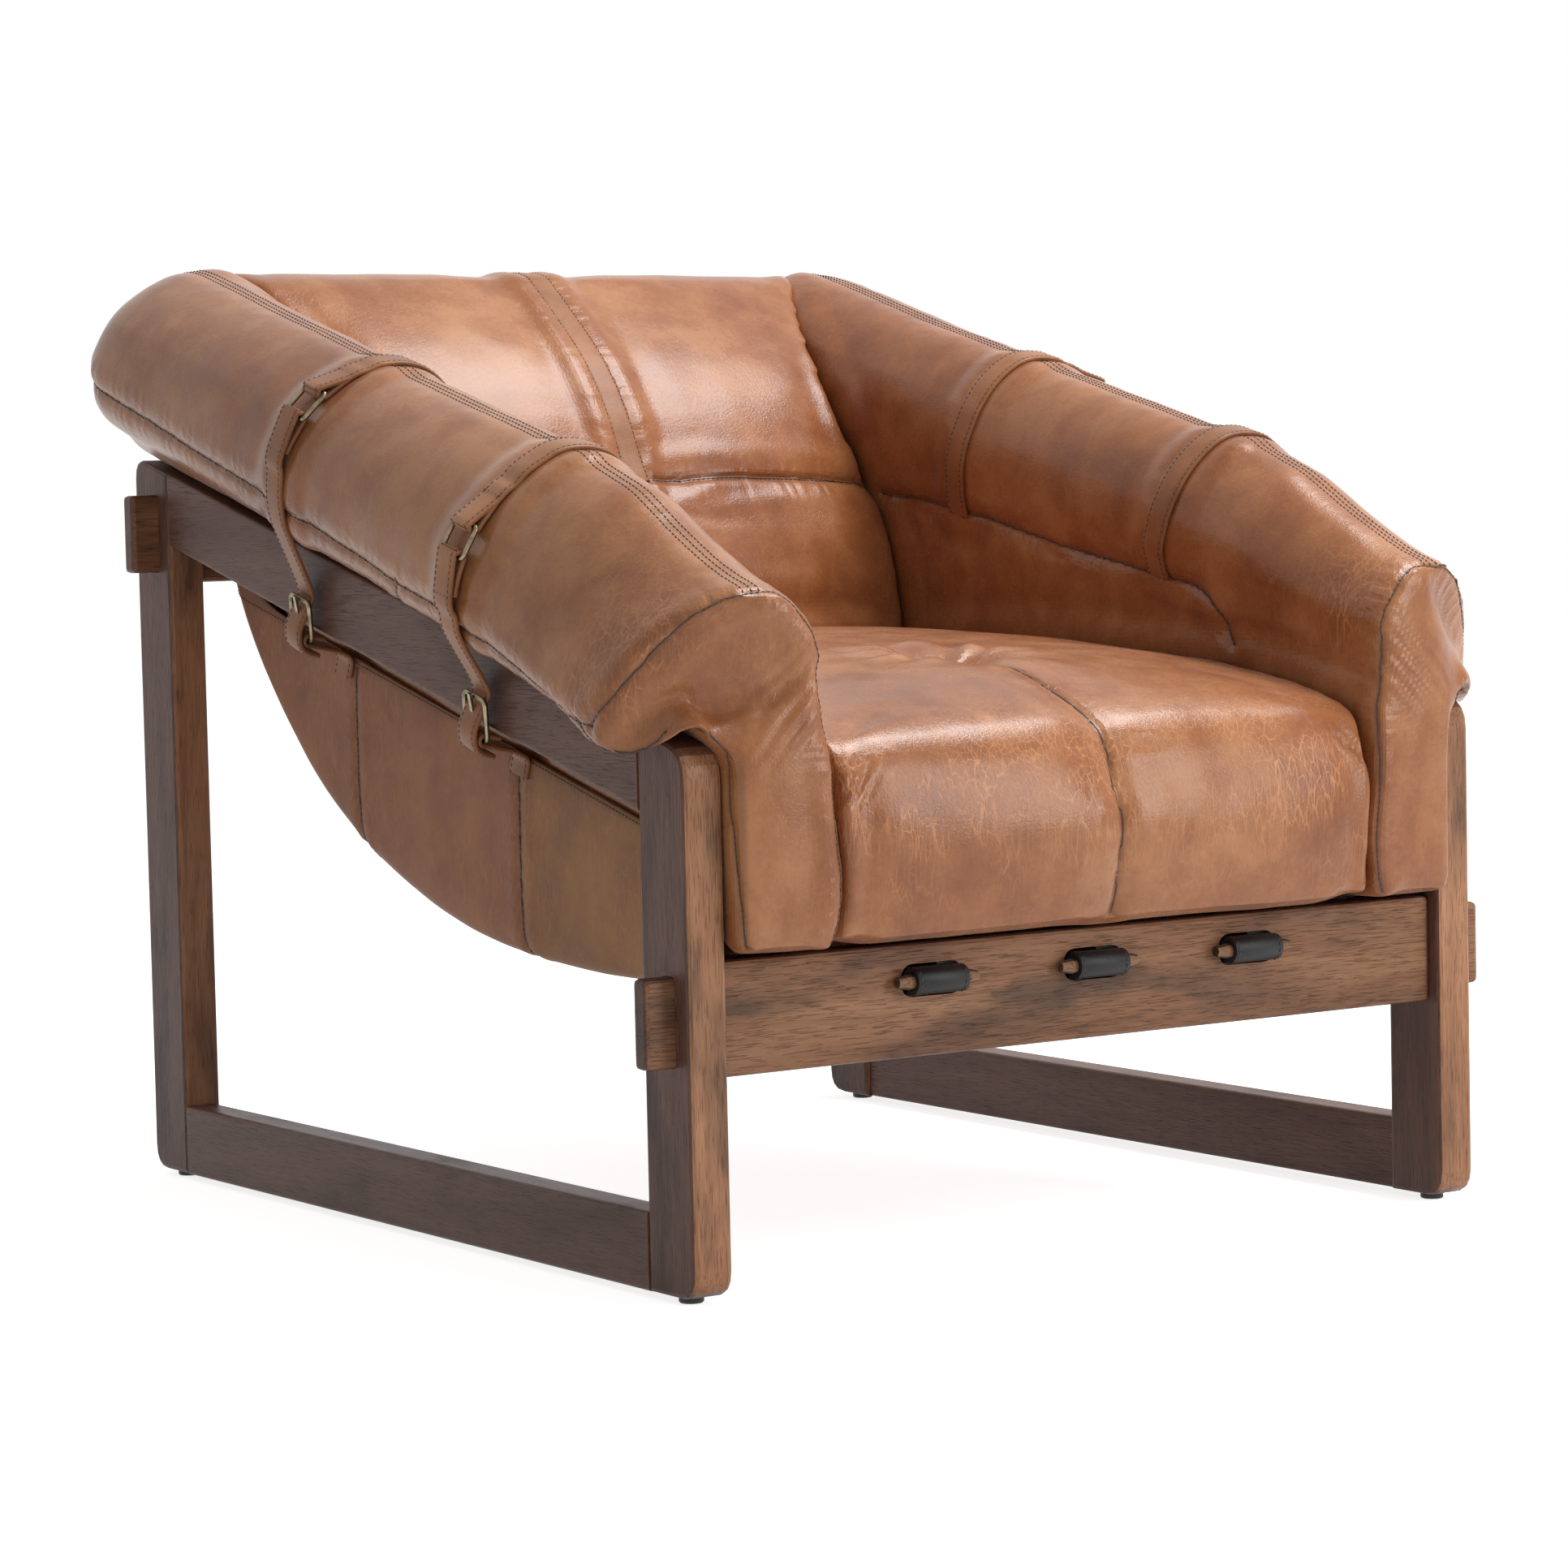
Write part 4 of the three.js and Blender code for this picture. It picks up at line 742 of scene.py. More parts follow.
# millimetres of filling or pull
REAR_FULLER, FOLD_HEIGHT, CORNER_LIFT, TIP_DROP, WALL_TUCK = 6.5, 0.75, 13.5, 10, 7
FOLDS_AT, FOLD_PITCH = (283, 33), 11
DIAGONAL = 1.414
CORNER_AT = 353


def rail_places(points, side):
    """Where points are across, along and square to an arm's rail, in millimetres."""
    place = (points - np.array(RAIL_MIDDLE)) * 1000
    return place[:, 0] * side, place @ np.array(ALONG), place @ np.array(SQUARE)


def filled_out(piece, side):
    """Fuller filling at the rear of the roll, and the pulled shapes of its front end."""
    mesh = piece.data
    points = points_of(mesh)
    u, s, n = rail_places(points, side)
    over, above = u - FOLDS_AT[0], n - FOLDS_AT[1]
    across, down = (over + above) / DIAGONAL, (above - over) / DIAGONAL
    folds = np.sin(2 * np.pi * across / FOLD_PITCH + 0.5 * np.sin(down / 9))
    folds *= hump(across, 0, 24) * hump(down, 0, 36) * slope(s, -400, -430)
    fuller = REAR_FULLER * slope(s, 120, 400) * slope(n, 50, 110) + FOLD_HEIGHT * folds
    points = pushed(mesh, points, fuller * MM)
    corner = hump(u, CORNER_AT, np.where(u < CORNER_AT, 11, 16)) * slope(n, 45, 3) * slope(s, -345, -405)
    tip = slope(u, 362, 384) * slope(n, 30, 0) * slope(s, -310, -380)
    points += np.outer((CORNER_LIFT * corner - TIP_DROP * tip) * MM, SQUARE)
    inward = WALL_TUCK * hump(n, -92, 38) * slope(u, 285, 255) * slope(s, -380, -440)
    points[:, 0] -= side * inward * MM
    place_points(mesh, points)


def arm(side, name):
    node = f"{name}_arm_cushion"
    piece = swollen(node, f"{name}_arm_padding", 0.005, 0.009)
    mesh = piece.data
    filled_out(piece, side)
    rumpled(piece, 0.0016, 9.0, 3.0 + side, 0.35)
    tree = surface_tree([mesh])
    crown = laid_route(tree, [by_rail(side * CROWN_AT, s, n) for s, n in CROWN])
    low = laid_route(tree, [by_rail(side * LOW_AT, s, n) for s, n in LOW_SEAM])
    seat = laid_route(tree, [Vector((side * SEAT_SEAM_AT, y, z)) for y, z in SEAT_SEAM])
    facing, arch, band, tip = (laid_route(tree, [by_rail(side * u, s, n) for u, s, n in route])
                               for route in (FACING, ARCH, BAND_SEAM, TIP_SEAM))
    seam = pressed_seams(piece, [facing], *FACING_PRESS)
    seam = np.maximum(seam, pressed_seams(piece, [low, seat], *LOW_PRESS))
    seam = np.maximum(seam, pressed_seams(piece, [arch, band, tip], *TRIM_PRESS))
    flat = pressed_seams(piece, [crown], *CROWN_PRESS)
    points = points_of(mesh)
    near_facing, _ = nearest_on(points, [facing])
    _, s, n = rail_places(points, side)
    roll = slope(n, -10, 30) * hump(near_facing, 0, 0.07) * slope(s, -440, -400)
    paint_mark(mesh, "seam", np.maximum(seam, 0.15 * flat))
    paint_mark(mesh, "worn", 0.15 + 0.85 * roll)
    tree = surface_tree([mesh])
    for shift in (-CROWN_ROW, 0, CROWN_ROW):
        row = smooth_route([by_rail(side * (CROWN_AT + shift), s, n) for s, n in CROWN])
        seam_lines.append(on_surface(tree, row, STITCH_LIFT))
    for route in (facing, low, seat, arch, band, tip):
        sewn(tree, route)
    dressed(piece, tan_leather, "tan_leather", node)
    print(piece.name, len(mesh.polygons), "faces")


arm(1, "left")
arm(-1, "right")

# %% [markdown]
# ## The back
# The back is a tall pad that rolls over the rear rail. A level seam crosses it where it bends to
# meet the seat, and an upright seam runs over the top under the middle strap.

# %% Back padding
BACK_LEVEL = [(x, 0.195, 0.573) for x in (-0.25, -0.12, 0, 0.12, 0.25)]
BACK_UPRIGHT = ((0, 0.196, 0.573), (0, 0.23, 0.64), (0, 0.28, 0.7), (0, 0.34, 0.745), (0, 0.39, 0.757))
BACK_PRESS = (0.003, 0.0042, 0.0014, 0.02, 0.0002)


def back_padding():
    piece = swollen("back_cushion", "back_padding", 0.006, 0.011)
    rumpled(piece, 0.0018, 8.0, 7.0, 0.3)
    tree = surface_tree([piece.data])
    level, upright = (laid_route(tree, [Vector(place) for place in route])
                      for route in (BACK_LEVEL, BACK_UPRIGHT))
    seam = pressed_seams(piece, [level, upright], *BACK_PRESS)
    paint_mark(piece.data, "seam", seam)
    paint_mark(piece.data, "worn", np.full(len(seam), 0.12))
    sewn(surface_tree([piece.data]), level)
    dressed(piece, tan_leather, "tan_leather", "back_cushion")
    print(piece.name, len(piece.data.polygons), "faces")


back_padding()

# %% [markdown]
# ## The seat
# The seat is a thick pad with a rounded front. One seam runs up the middle of the front, over the
# edge and back to a tuft, where a button of thread pulls the leather down into radial creases.

# %% Seat padding
SEAT_MIDDLE = ((-0.45, 0.246), (-0.462, 0.29), (-0.465, 0.35), (-0.455, 0.395), (-0.43, 0.41),
               (-0.37, 0.425), (-0.3, 0.436), (-0.239, 0.43))
SEAT_PRESS = (0.0022, 0.003, 0.001, 0.016, 0.0001)
TUFT = (0, -0.239, 0.43)
TUFT_DEPTH, CREASE_HEIGHT, PULL_HEIGHT = 0.007, 0.0021, 0.0008
PULLS_AT, PULL_PITCH = (0.228, 0.36), 0.0095


def tufted(points):
    """The dip of the tuft, with creases that run out from it."""
    away = points - np.array(TUFT)
    reach = np.hypot(away[:, 0], away[:, 1])
    turn = np.arctan2(away[:, 1], away[:, 0])
    creases = CREASE_HEIGHT * np.cos(9 * turn + 2 * np.sin(2 * turn)) * hump(reach, 0.05, 0.038)
    return slope(points[:, 2], 0.36, 0.4) * (creases - TUFT_DEPTH * hump(reach, 0, 0.03))


def seat_padding():
    piece = swollen("seat_cushion", "seat_padding", 0.005, 0.01)
    rumpled(piece, 0.0014, 10.0, 11.0, 0.35)
    mesh = piece.data
    points = points_of(mesh)
    points[:, 2] += tufted(points)
    x, y, z = np.abs(points[:, 0]), points[:, 1], points[:, 2]
    nose = slope(y, -0.42, -0.445)
    tucked = 0.006 * slope(x, 0.222, 0.244) * hump(z, 0.29, 0.045)
    tucked += 0.005 * slope(x, 0.232, 0.244) * hump(z, 0.362, 0.02)
    points[:, 0] -= np.sign(points[:, 0]) * tucked * nose
    over, above = x - PULLS_AT[0], z - PULLS_AT[1]
    across, down = over * 0.77 + above * 0.64, above * 0.77 - over * 0.64
    pulls = np.sin(2 * np.pi * across / PULL_PITCH) * hump(across, 0, 0.011) * hump(down, 0, 0.018) * nose
    points = pushed(mesh, points, PULL_HEIGHT * pulls)
    place_points(mesh, points)
    tree = surface_tree([mesh])
    middle = laid_route(tree, [Vector((0, y, z)) for y, z in SEAT_MIDDLE])
    paint_mark(mesh, "seam", pressed_seams(piece, [middle], *SEAT_PRESS))
    front = slope(points[:, 1], -0.4, -0.44) * slope(points[:, 2], 0.26, 0.32)
    paint_mark(mesh, "worn", 0.2 + 0.8 * front)
    # a dark cord in the middle seam, as painted shade
    shade_cord_lines.append(on_surface(surface_tree([mesh]), middle, -SHADE_CORD_SINK))
    dressed(piece, tan_leather, "tan_leather", "seat_cushion")
    print(piece.name, len(mesh.polygons), "faces")


seat_padding()

# %% [markdown]
# ## The sling cover
# Under the padding hangs a wide leather cover, sewn from three panels with a bound edge along each
# side. It is thin, so it isn't remeshed: its solid is smoothed by subdivision and then creased.

# %% Sling cover
PANEL_SEAMS = (0.094, -0.153)
PANEL_PRESS = (0.0012, 0.004, 0.0008, 0.012, 0.0003)
PANEL_SINK = 0.0002
RIM, RIM_AT, RIM_ROW = -79.3, 328, 5


def panel_route(tree, y):
    """Round the outside of the cover at one distance from the front, from rim to rim."""
    walls = {}
    for side in (1, -1):
        starts = [Vector((side * 0.6, y, z * MM)) for z in range(180, 620, 8)]
        hits = [tree.ray_cast(start, Vector((-side, 0, 0)))[0] for start in starts]
        walls[side] = [hit for hit in hits if hit and abs(hit.x) > 0.3]
    under = [tree.ray_cast(Vector((x * MM, y, 0)), Vector((0, 0, 1)))[0] for x in range(300, -301, -30)]
    return smooth_route([*walls[1][::-1], *(p for p in under if p), *walls[-1]])


def sling_cover():
    piece = merged_copy("sling_cover", "sling_leather")
    with reshaped(piece.data) as form:
        bmesh.ops.join_triangles(form, faces=form.faces, angle_face_threshold=0.6,
                                 angle_shape_threshold=0.9)
    subdivided(piece, 3)
    rumpled(piece, 0.0012, 7.0, 23.0, 0.4)
    mesh = piece.data
    tree = surface_tree([mesh])
    panels = [on_surface(tree, panel_route(tree, y)) for y in PANEL_SEAMS]
    rims = [laid_route(tree, [by_rail(side * RIM_AT, s, RIM - RIM_ROW) for s in range(-390, 341, 73)])
            for side in (1, -1)]
    seam = pressed_seams(piece, panels, *PANEL_PRESS)
    points = points_of(mesh)
    # The bound edge is not modelled: a band along the rim is darkened with the painted seam shade instead.
    edge = slope(rail_places(points, 1)[2], RIM - 9, RIM - 6) * (np.abs(points[:, 0]) > 0.32)
    paint_mark(mesh, "seam", np.maximum(seam, 0.6 * edge))
    paint_mark(mesh, "worn", np.full(len(points), 0.6))
    paint_mark(mesh, "panel", slope(points[:, 1], PANEL_SEAMS[1], PANEL_SEAMS[1] - 0.002))
    tree = surface_tree([mesh])
    for route in panels:
        sewn(tree, route, PANEL_SINK)
    seam_lines.extend(on_surface(tree, route, STITCH_LIFT) for route in rims)
    dressed(piece, under_leather, "under_leather", "sling_cover")
    print(piece.name, len(mesh.polygons), "faces")


sling_cover()

# %% [markdown]
# ## Straps
# A strap is two thicknesses of leather sewn along both edges. Its solid is a ribbon, so the middle
# line can be read from the ribbon's edge: the flat side is a closed loop with two square ends, and
# the line half way between its long sides is the strap's path. A section with rounded edges and a
# fine line between the two thicknesses is carried along that path.

# %% Read a strap's path
FLAT_WITHIN = 5e-5


def side_loop(node, axis):
    """The closed outline of the ribbon's flat side, in order, and half the ribbon's width."""
    probe = merged_copy(node, "probe")
    links = {}
    with reshaped(probe.data) as form:
        reach = [v.co.dot(axis) for v in form.verts]
        far, near = max(reach), min(reach)
        flat = {f for f in form.faces if all(v.co.dot(axis) > far - FLAT_WITHIN for v in f.verts)}
        for edge in form.edges:
            if sum(f in flat for f in edge.link_faces) == 1:
                a, b = (v.index for v in edge.verts)
                links.setdefault(a, []).append(b)
                links.setdefault(b, []).append(a)
    first = min(links)
    loop, last, here = [first], first, links[first][0]
    while here != first:
        loop.append(here)
        last, here = here, next(i for i in links[here] if i != last)
    outline = [probe.data.vertices[i].co.copy() for i in loop]
    bpy.data.objects.remove(probe)
    return outline, (far - near) / 2


def strap_path(node, axis):
    """Middle line, half width and thickness of a ribbon."""
    loop, half = side_loop(node, axis)
    count = len(loop)
    turns = []
    for i in range(count):
        before, after = loop[i] - loop[i - 1], loop[(i + 1) % count] - loop[i]
        turns.append(before.angle(after, 0))
    corners = sorted(sorted(range(count), key=lambda i: -turns[i])[:4])
    ends = [(i, (i + 1) % count) for i in corners if (i + 1) % count in corners]
    (a0, a1), (b0, b1) = ends[:2]
    one = [loop[i % count] for i in range(a1, (b0 if b0 > a1 else b0 + count) + 1)]
    two = [loop[i % count] for i in range(b1, (a0 if a0 > b1 else a0 + count) + 1)][::-1]
    middle = [(p + q) / 2 - axis * half for p, q in zip(one, two)]
    thickness = min((p - q).length for p, q in zip(one, two))
    return middle, half, thickness


# %% Carry a section along a path
STRAP_EDGE_ANGLE = math.radians(50)


def strap_section(half, thick):
    """Outline of a strap cut across, in metres: a low crown, and a line round each edge."""
    top = thick / 2
    side = [(half - 0.0011, top), (half - 0.0003, top - 0.0005), (half, 0.0004), (half - 0.0004, 0),
            (half, -0.0004), (half - 0.0003, 0.0005 - top), (half - 0.0011, -top)]
    crown = [(-0.5 * half, top + 0.0002), (0, top + 0.0003), (0.5 * half, top + 0.0002)]
    flat = [(0.5 * half, -top), (0, -top), (-0.5 * half, -top)]
    return crown + side + flat + [(-w, n) for w, n in side[::-1]]


def square_to(path, i, axis):
    """Square to the path and to the axis, at one point of the path."""
    along = path[min(i + 1, len(path) - 1)] - path[max(i - 1, 0)]
    return along.cross(axis).normalized()


def outwards(path, i, axis, hub):
    """The same, on the side that faces away from the hub."""
    out = square_to(path, i, axis)
    return out if out.dot(path[i] - hub) > 0 else -out


def closed_skin(name, points, size, joined):
    """Skin over rings of points, each of one size: joined in a circle, or with both ends filled."""
    count = len(points) // size
    faces = []
    for i in range(count if joined else count - 1):
        here, there = i * size, (i + 1) % count * size
        for k in range(size):
            n = (k + 1) % size
            faces.append((here + k, here + n, there + n, there + k))
    if not joined:
        faces.append(tuple(range(size))[::-1])
        faces.append(tuple(range(len(points) - size, len(points))))
    mesh = bpy.data.meshes.new(name)
    mesh.from_pydata(points, [], faces)
    with reshaped(mesh) as form:
        bmesh.ops.recalc_face_normals(form, faces=form.faces)
    smooth_shaded(mesh)
    return linked(name, mesh)


def carried(name, path, axis, section):
    """The section set up at each point of the path, square to it."""
    points = []
    for i, place in enumerate(path):
        out = square_to(path, i, axis)
        points.extend(place + axis * w + out * n for w, n in section)
    piece = closed_skin(name, points, len(section), joined=False)
    piece.data.set_sharp_from_angle(angle=STRAP_EDGE_ANGLE)
    return piece


# %% Make the straps
EDGE_ROW = 0.0027
ROW_LIFT = 0.00005
STRAP_STEP = 0.0022
FOLD_SEWN = 0.04  # a fold's row of stitches is at least this far along the strap
FOLDED = 0.045  # length of strap that is taken up by the fold round the ring
EASED = 0.03
DEEPEST = 0.015
CLEAR = 0.0003
EVENED_OVER = 4
BACK_HUB = Vector((0, 0.34, 0.6))


def fold_row(path, axis, half, lift, hub):
    """A short row across the strap, where the end that is folded round the ring is sewn down."""
    beyond, gone = [], (path[1] - path[0]).length
    for i in range(2, len(path) - 2):
        gone += (path[i] - path[i - 1]).length
        if gone > FOLD_SEWN:
            beyond.append(i)
    i = min(beyond, key=lambda k: (path[k] - path[0]).length)
    out = outwards(path, i, axis, hub)
    return [path[i] + axis * half * share / 4 + out * lift for share in range(-4, 5)]


def let_down(path, axis, hub, thick, skin):
    """Lays a strap on the padding, apart from the end that is folded round its ring."""
    outs, drops, gone = [], [], 0.0
    for i, place in enumerate(path):
        gone += (place - path[max(i - 1, 0)]).length
        outs.append(outwards(path, i, axis, hub))
        below = skin.ray_cast(place, -outs[-1], DEEPEST + thick)[3]
        gap = max(below - thick / 2 - CLEAR, 0) if below else 0
        drops.append(min(gap, DEEPEST) * min(max((gone - FOLDED) / EASED, 0), 1))
    near = [drops[max(i - EVENED_OVER, 0):i + EVENED_OVER + 1] for i in range(len(path))]
    even = [sum(some) / len(some) for some in near]
    print("let down", round(max(even) / MM, 1), "mm")
    return [place - out * drop for place, out, drop in zip(path, outs, even)]


def strap(name, part, axis, hub, skin):
    """One strap of a set, with its path starting at the end that is nearest the ring."""
    node = f"{name}_{part}_strap"
    middle, half, thick = strap_path(node, axis)
    path = smooth_route(middle, STRAP_STEP)
    low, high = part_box(f"{name}_ring")
    ring = (low + high) / 2
    if (path[-1] - ring).length < (path[0] - ring).length:
        path.reverse()
    if square_to(path, len(path) // 2, axis).dot(path[len(path) // 2] - hub) < 0:
        axis = -axis  # so that the crown of the section faces outwards
    if part == "upper":
        path = let_down(path, axis, hub, thick, skin)
    piece = carried(f"{node}_leather", path, axis, strap_section(half, thick))
    dressed(piece, strap_leather, "strap_leather", node)
    row_at = half - EDGE_ROW
    outs = [outwards(path, i, axis, hub) * (thick / 2 + ROW_LIFT) for i in range(len(path))]
    for share in (-1, 1):
        seam_lines.append([place + axis * share * row_at + out for place, out in zip(path, outs)])
    if part != "tab":
        seam_lines.append(fold_row(path, axis, row_at, thick / 2, hub))


STRAP_SETS = {f"{side}_{end}": ALONG for side in ("left", "right") for end in ("front", "rear")}
STRAP_SETS["back"] = Vector((1, 0, 0))
for name, axis in STRAP_SETS.items():
    padding = "back_padding" if name == "back" else f"{name.split('_')[0]}_arm_padding"
    skin = surface_tree([bpy.data.objects[padding].data])
    for part in ("upper", "lower", "tab"):
        low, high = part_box(f"{name}_{part}_strap")
        side = {"left": 1, "right": -1}.get(name.split("_")[0], 0)
        hub = by_rail(side * 300, 0, 30) + ALONG * (low + high - 2 * RAIL_MIDDLE).dot(ALONG) / 2
        strap(name, part, axis, hub if side else BACK_HUB, skin)
print("straps", 3 * len(STRAP_SETS))

# %% [markdown]
# ## Rings and buckle frames
# These are brass wire bent into rounded rectangles. A solid gives the three directions of a ring:
# it is thinnest square to its plane, its width lies along the strap's width, and the third follows.

# %% Brass rings
WIRE_SIDES = 12
WIRE_RADIUS = 0.0021
WIRE_FLATTENED = 0.92
CORNER_STEPS = 6
CORNER_RADIUS = 0.0048


def ring_path(wide, tall, corner):
    """Points of a rounded rectangle, with the direction outwards at each."""
    path = []
    for quarter, (x, y) in enumerate(((1, 1), (-1, 1), (-1, -1), (1, -1))):
        for i in range(CORNER_STEPS + 1):
            a = math.pi / 2 * (quarter + i / CORNER_STEPS)
            outward = (math.cos(a), math.sin(a))
            centre = (x * (wide / 2 - corner), y * (tall / 2 - corner))
            path.append((centre[0] + corner * outward[0], centre[1] + corner * outward[1], outward))
    return path


def brass_ring(node, axis):
    points = points_of(nodes[node].data)
    spread = points - points.mean(0)
    plane = Vector(np.linalg.svd(spread, full_matrices=False)[2][2])
    plane = (plane - axis * plane.dot(axis)).normalized()
    third = plane.cross(axis)
    centre = Vector((0, 0, 0))
    size = []
    for way in (axis, third, plane):
        run = points @ np.array(way)
        centre += way * (run.max() + run.min()) / 2
        size.append(run.max() - run.min())
    rings = []
    for x, y, outward in ring_path(size[0] - 2 * WIRE_RADIUS, size[1] - 2 * WIRE_RADIUS, CORNER_RADIUS):
        out = axis * outward[0] + third * outward[1]
        middle = centre + axis * x + third * y
        for k in range(WIRE_SIDES):
            a = 2 * math.pi * k / WIRE_SIDES
            rings.append(middle + out * WIRE_RADIUS * math.cos(a)
                         + plane * WIRE_RADIUS * WIRE_FLATTENED * math.sin(a))
    piece = closed_skin(f"{node}_brass", rings, WIRE_SIDES, joined=True)
    dressed(piece, antique_brass, "antique_brass", node)


for name, axis in STRAP_SETS.items():
    brass_ring(f"{name}_ring", axis)
    brass_ring(f"{name}_buckle_frame", axis)
print("rings and buckle frames", 2 * len(STRAP_SETS))

# %% [markdown]
# ## Belts
# Three dark belts carry the sling. Each passes through the front and rear rails and is looped
# round a loose dowel. The solid has the right path, so its edges are softened, and at the front the
# loop gets the two leaves that run on into the slot, where a belt is sewn back on itself.

# %% Belts
BELT_EDGE = 0.0009
LOOP_LEAVES = (
    [(-427.5, 221.5), (-421, 221.6), (-412, 220.2), (-402, 217.9), (-394, 216.5), (-388, 216.2)],
    [(-427.5, 205.5), (-420, 205.2), (-406, 205.1), (-392, 205.4), (-378, 206.2), (-364, 207.2),
     (-352, 207.3), (-330, 206.7)],
)
LEAF_THICK, LEAF_STEP = 0.0035, 0.004
LOOP_MIDDLE = Vector((0, -0.42815, 0.2135))
LOOP_RADIUS = 0.0101


def softened(node, name):
    piece = merged_copy(node, name)
    ease = piece.modifiers.new("soft_edges", "BEVEL")
    ease.width = BELT_EDGE
    ease.segments = 2
    ease.limit_method = "ANGLE"
    ease.angle_limit = math.radians(35)
    settled(piece)
    smooth_shaded(piece.data)
    piece.data.set_sharp_from_angle(angle=math.radians(40))
    return piece


def closed_loop(belt, middle, half):
    """Above and below the dowel the loop runs on into the slot; the lower end is sewn under the belt."""
    across = Vector((1, 0, 0))
    with reshaped(belt.data) as form:
        for leaf_route in LOOP_LEAVES:
            route = [across * middle + Vector((0, y, z)) * MM for y, z in leaf_route]
            leaf = carried("leaf", smooth_route(route, LEAF_STEP), across, strap_section(half, LEAF_THICK))
            form.from_mesh(leaf.data)
            bpy.data.objects.remove(leaf)
    for share in (-1, 1):
        row = []
        for angle in range(80, 281, 10):
            turn = math.radians(angle)
            out = Vector((0, math.cos(turn), math.sin(turn))) * LOOP_RADIUS
            row.append(LOOP_MIDDLE + out + across * (middle + share * (half - EDGE_ROW)))
        seam_lines.append(row)


for place in ("right", "middle", "left"):
    belt = softened(f"{place}_belt", f"{place}_belt_leather")
    low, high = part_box(f"{place}_belt")
    closed_loop(belt, (low + high).x / 2, (high - low).x / 2)
    dressed(belt, black_leather, "black_leather", f"{place}_belt")
print("belts", 3)

# %% [markdown]
# ## Wood, dowels, prongs and glides
# These solids already have the shape of the real pieces, so they stay and only take their finish.

# %% Finish the solids that stay
FINISHES = {
    "leg": walnut_up, "bottom_rail": walnut_back, "top_rail": walnut_slope, "rear_rail": walnut_across,
    "front_rail": rail_walnut, "dowel": dowel_wood, "prong": antique_brass, "glide": glide_plastic,
}
for node, solid in nodes.items():
    for ending, material in FINISHES.items():
        if node.endswith(ending):
            solid.material_slots[0].material = material
print("finished", sum(not o.hide_render for o in nodes.values()), "solids")

# %% [markdown]
# ## Stitches
# Every seam and strap edge is sewn. Thousands of stitches are the same small bead of thread set
# along a line, which is what Geometry Nodes are for: the rows are lines of a mesh, points are set
# along them at the stitch pitch, and a bead is placed on each point and turned along the row.

# %% Stitch tree
STITCH = {"Stitch pitch": 0.0046, "Stitch length": 0.0034, "Thread radius": 0.00055}
SHADE_CORD_RADIUS = 0.0007


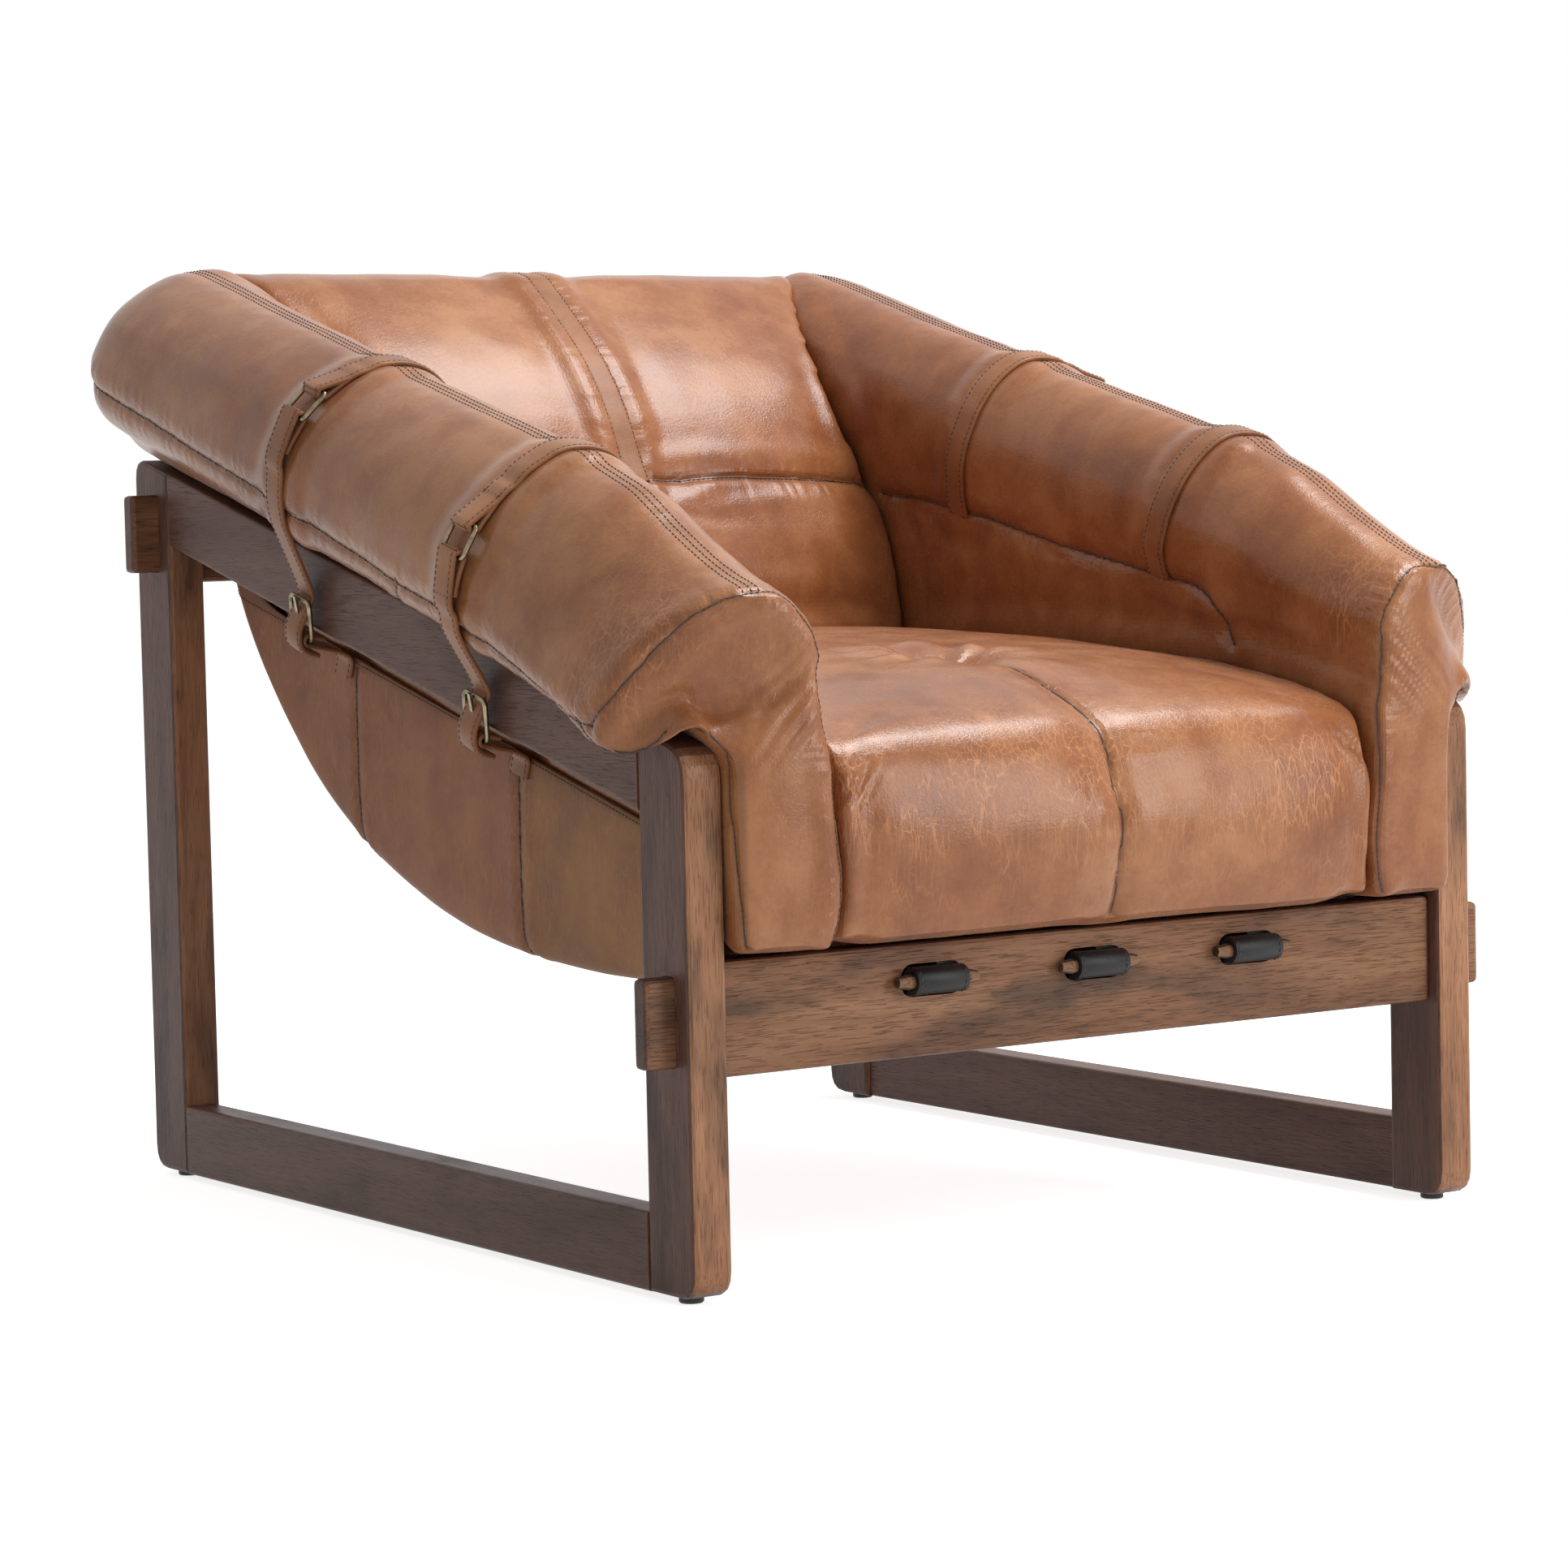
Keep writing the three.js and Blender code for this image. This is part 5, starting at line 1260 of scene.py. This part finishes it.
def stitch_tree():
    tree = bpy.data.node_groups.new("sewn_rows", "GeometryNodeTree")
    face = tree.interface
    face.new_socket("Rows", in_out="INPUT", socket_type="NodeSocketGeometry")
    names = {}
    for name in STITCH:
        names[name] = face.new_socket(name, in_out="INPUT", socket_type="NodeSocketFloat").identifier
    face.new_socket("Stitches", in_out="OUTPUT", socket_type="NodeSocketGeometry")

    def add(kind, **settings):
        made = tree.nodes.new(kind)
        for key, value in settings.items():
            setattr(made, key, value)
        return made

    given = add("NodeGroupInput")
    curve = add("GeometryNodeMeshToCurve")
    spots = add("GeometryNodeCurveToPoints", mode="LENGTH")
    bead = add("GeometryNodeMeshUVSphere")
    bead.inputs["Segments"].default_value = 6
    bead.inputs["Rings"].default_value = 4
    stretch = add("ShaderNodeMath", operation="DIVIDE")
    halve = add("ShaderNodeMath", operation="MULTIPLY")
    halve.inputs[1].default_value = 0.5
    shape = add("ShaderNodeCombineXYZ")
    shape.inputs["X"].default_value = shape.inputs["Y"].default_value = 1
    longer = add("GeometryNodeTransform")
    turn = add("FunctionNodeAlignRotationToVector", axis="Z")
    placed = add("GeometryNodeInstanceOnPoints")
    real = add("GeometryNodeRealizeInstances")
    smooth = add("GeometryNodeSetShadeSmooth")
    result = add("NodeGroupOutput")
    for start, output, end, entry in (
        (given, "Rows", curve, "Mesh"),
        (curve, "Curve", spots, "Curve"),
        (given, "Stitch pitch", spots, "Length"),
        (given, "Thread radius", bead, "Radius"),
        (given, "Stitch length", halve, 0),
        (halve, 0, stretch, 0),
        (given, "Thread radius", stretch, 1),
        (stretch, 0, shape, "Z"),
        (bead, "Mesh", longer, "Geometry"),
        (shape, 0, longer, "Scale"),
        (spots, "Tangent", turn, "Vector"),
        (spots, "Points", placed, "Points"),
        (longer, "Geometry", placed, "Instance"),
        (turn, "Rotation", placed, "Rotation"),
        (placed, "Instances", real, "Geometry"),
        (real, "Geometry", smooth, "Geometry"),
        (smooth, "Geometry", result, "Stitches"),
    ):
        tree.links.new(start.outputs[output], end.inputs[entry])
    return tree, names


# %% Sew the rows
def sewn_rows(name, rows):
    points, lines = [], []
    for row in rows:
        first = len(points)
        points.extend(row)
        lines.extend((first + i, first + i + 1) for i in range(len(row) - 1))
    mesh = bpy.data.meshes.new(name)
    mesh.from_pydata(points, lines, [])
    piece = linked(name, mesh)
    sewing = piece.modifiers.new("sewing", "NODES")
    sewing.node_group, sockets = stitch_tree()
    for socket, value in STITCH.items():
        sewing[sockets[socket]] = value
    dressed(settled(piece), thread, "strap_leather")
    print(name, len(rows), "rows,", len(piece.data.polygons), "faces")


def seam_shade_cords(name, rows):
    """A thin dark line in the bottom of every seam: painted shade for the crease."""
    curve = bpy.data.curves.new(name, "CURVE")
    curve.dimensions = "3D"
    curve.bevel_depth = SHADE_CORD_RADIUS
    curve.bevel_resolution = 0
    curve.use_fill_caps = True
    for row in rows:
        spline = curve.splines.new("POLY")
        spline.points.add(len(row) - 1)
        for knot, place in zip(spline.points, row):
            knot.co = (*place, 1)
    drawn = linked(f"{name}_curve", curve)
    mesh = bpy.data.meshes.new_from_object(evaluated(drawn))
    bpy.data.objects.remove(drawn)
    mesh.name = name
    dressed(linked(name, mesh), thread, "strap_leather")
    print(name, len(mesh.polygons), "faces")


seam_shade_cords("chair_seam_shade_cords", shade_cord_lines)
sewn_rows("chair_stitches", seam_lines)

# %% Update the scene
bpy.context.view_layer.update()
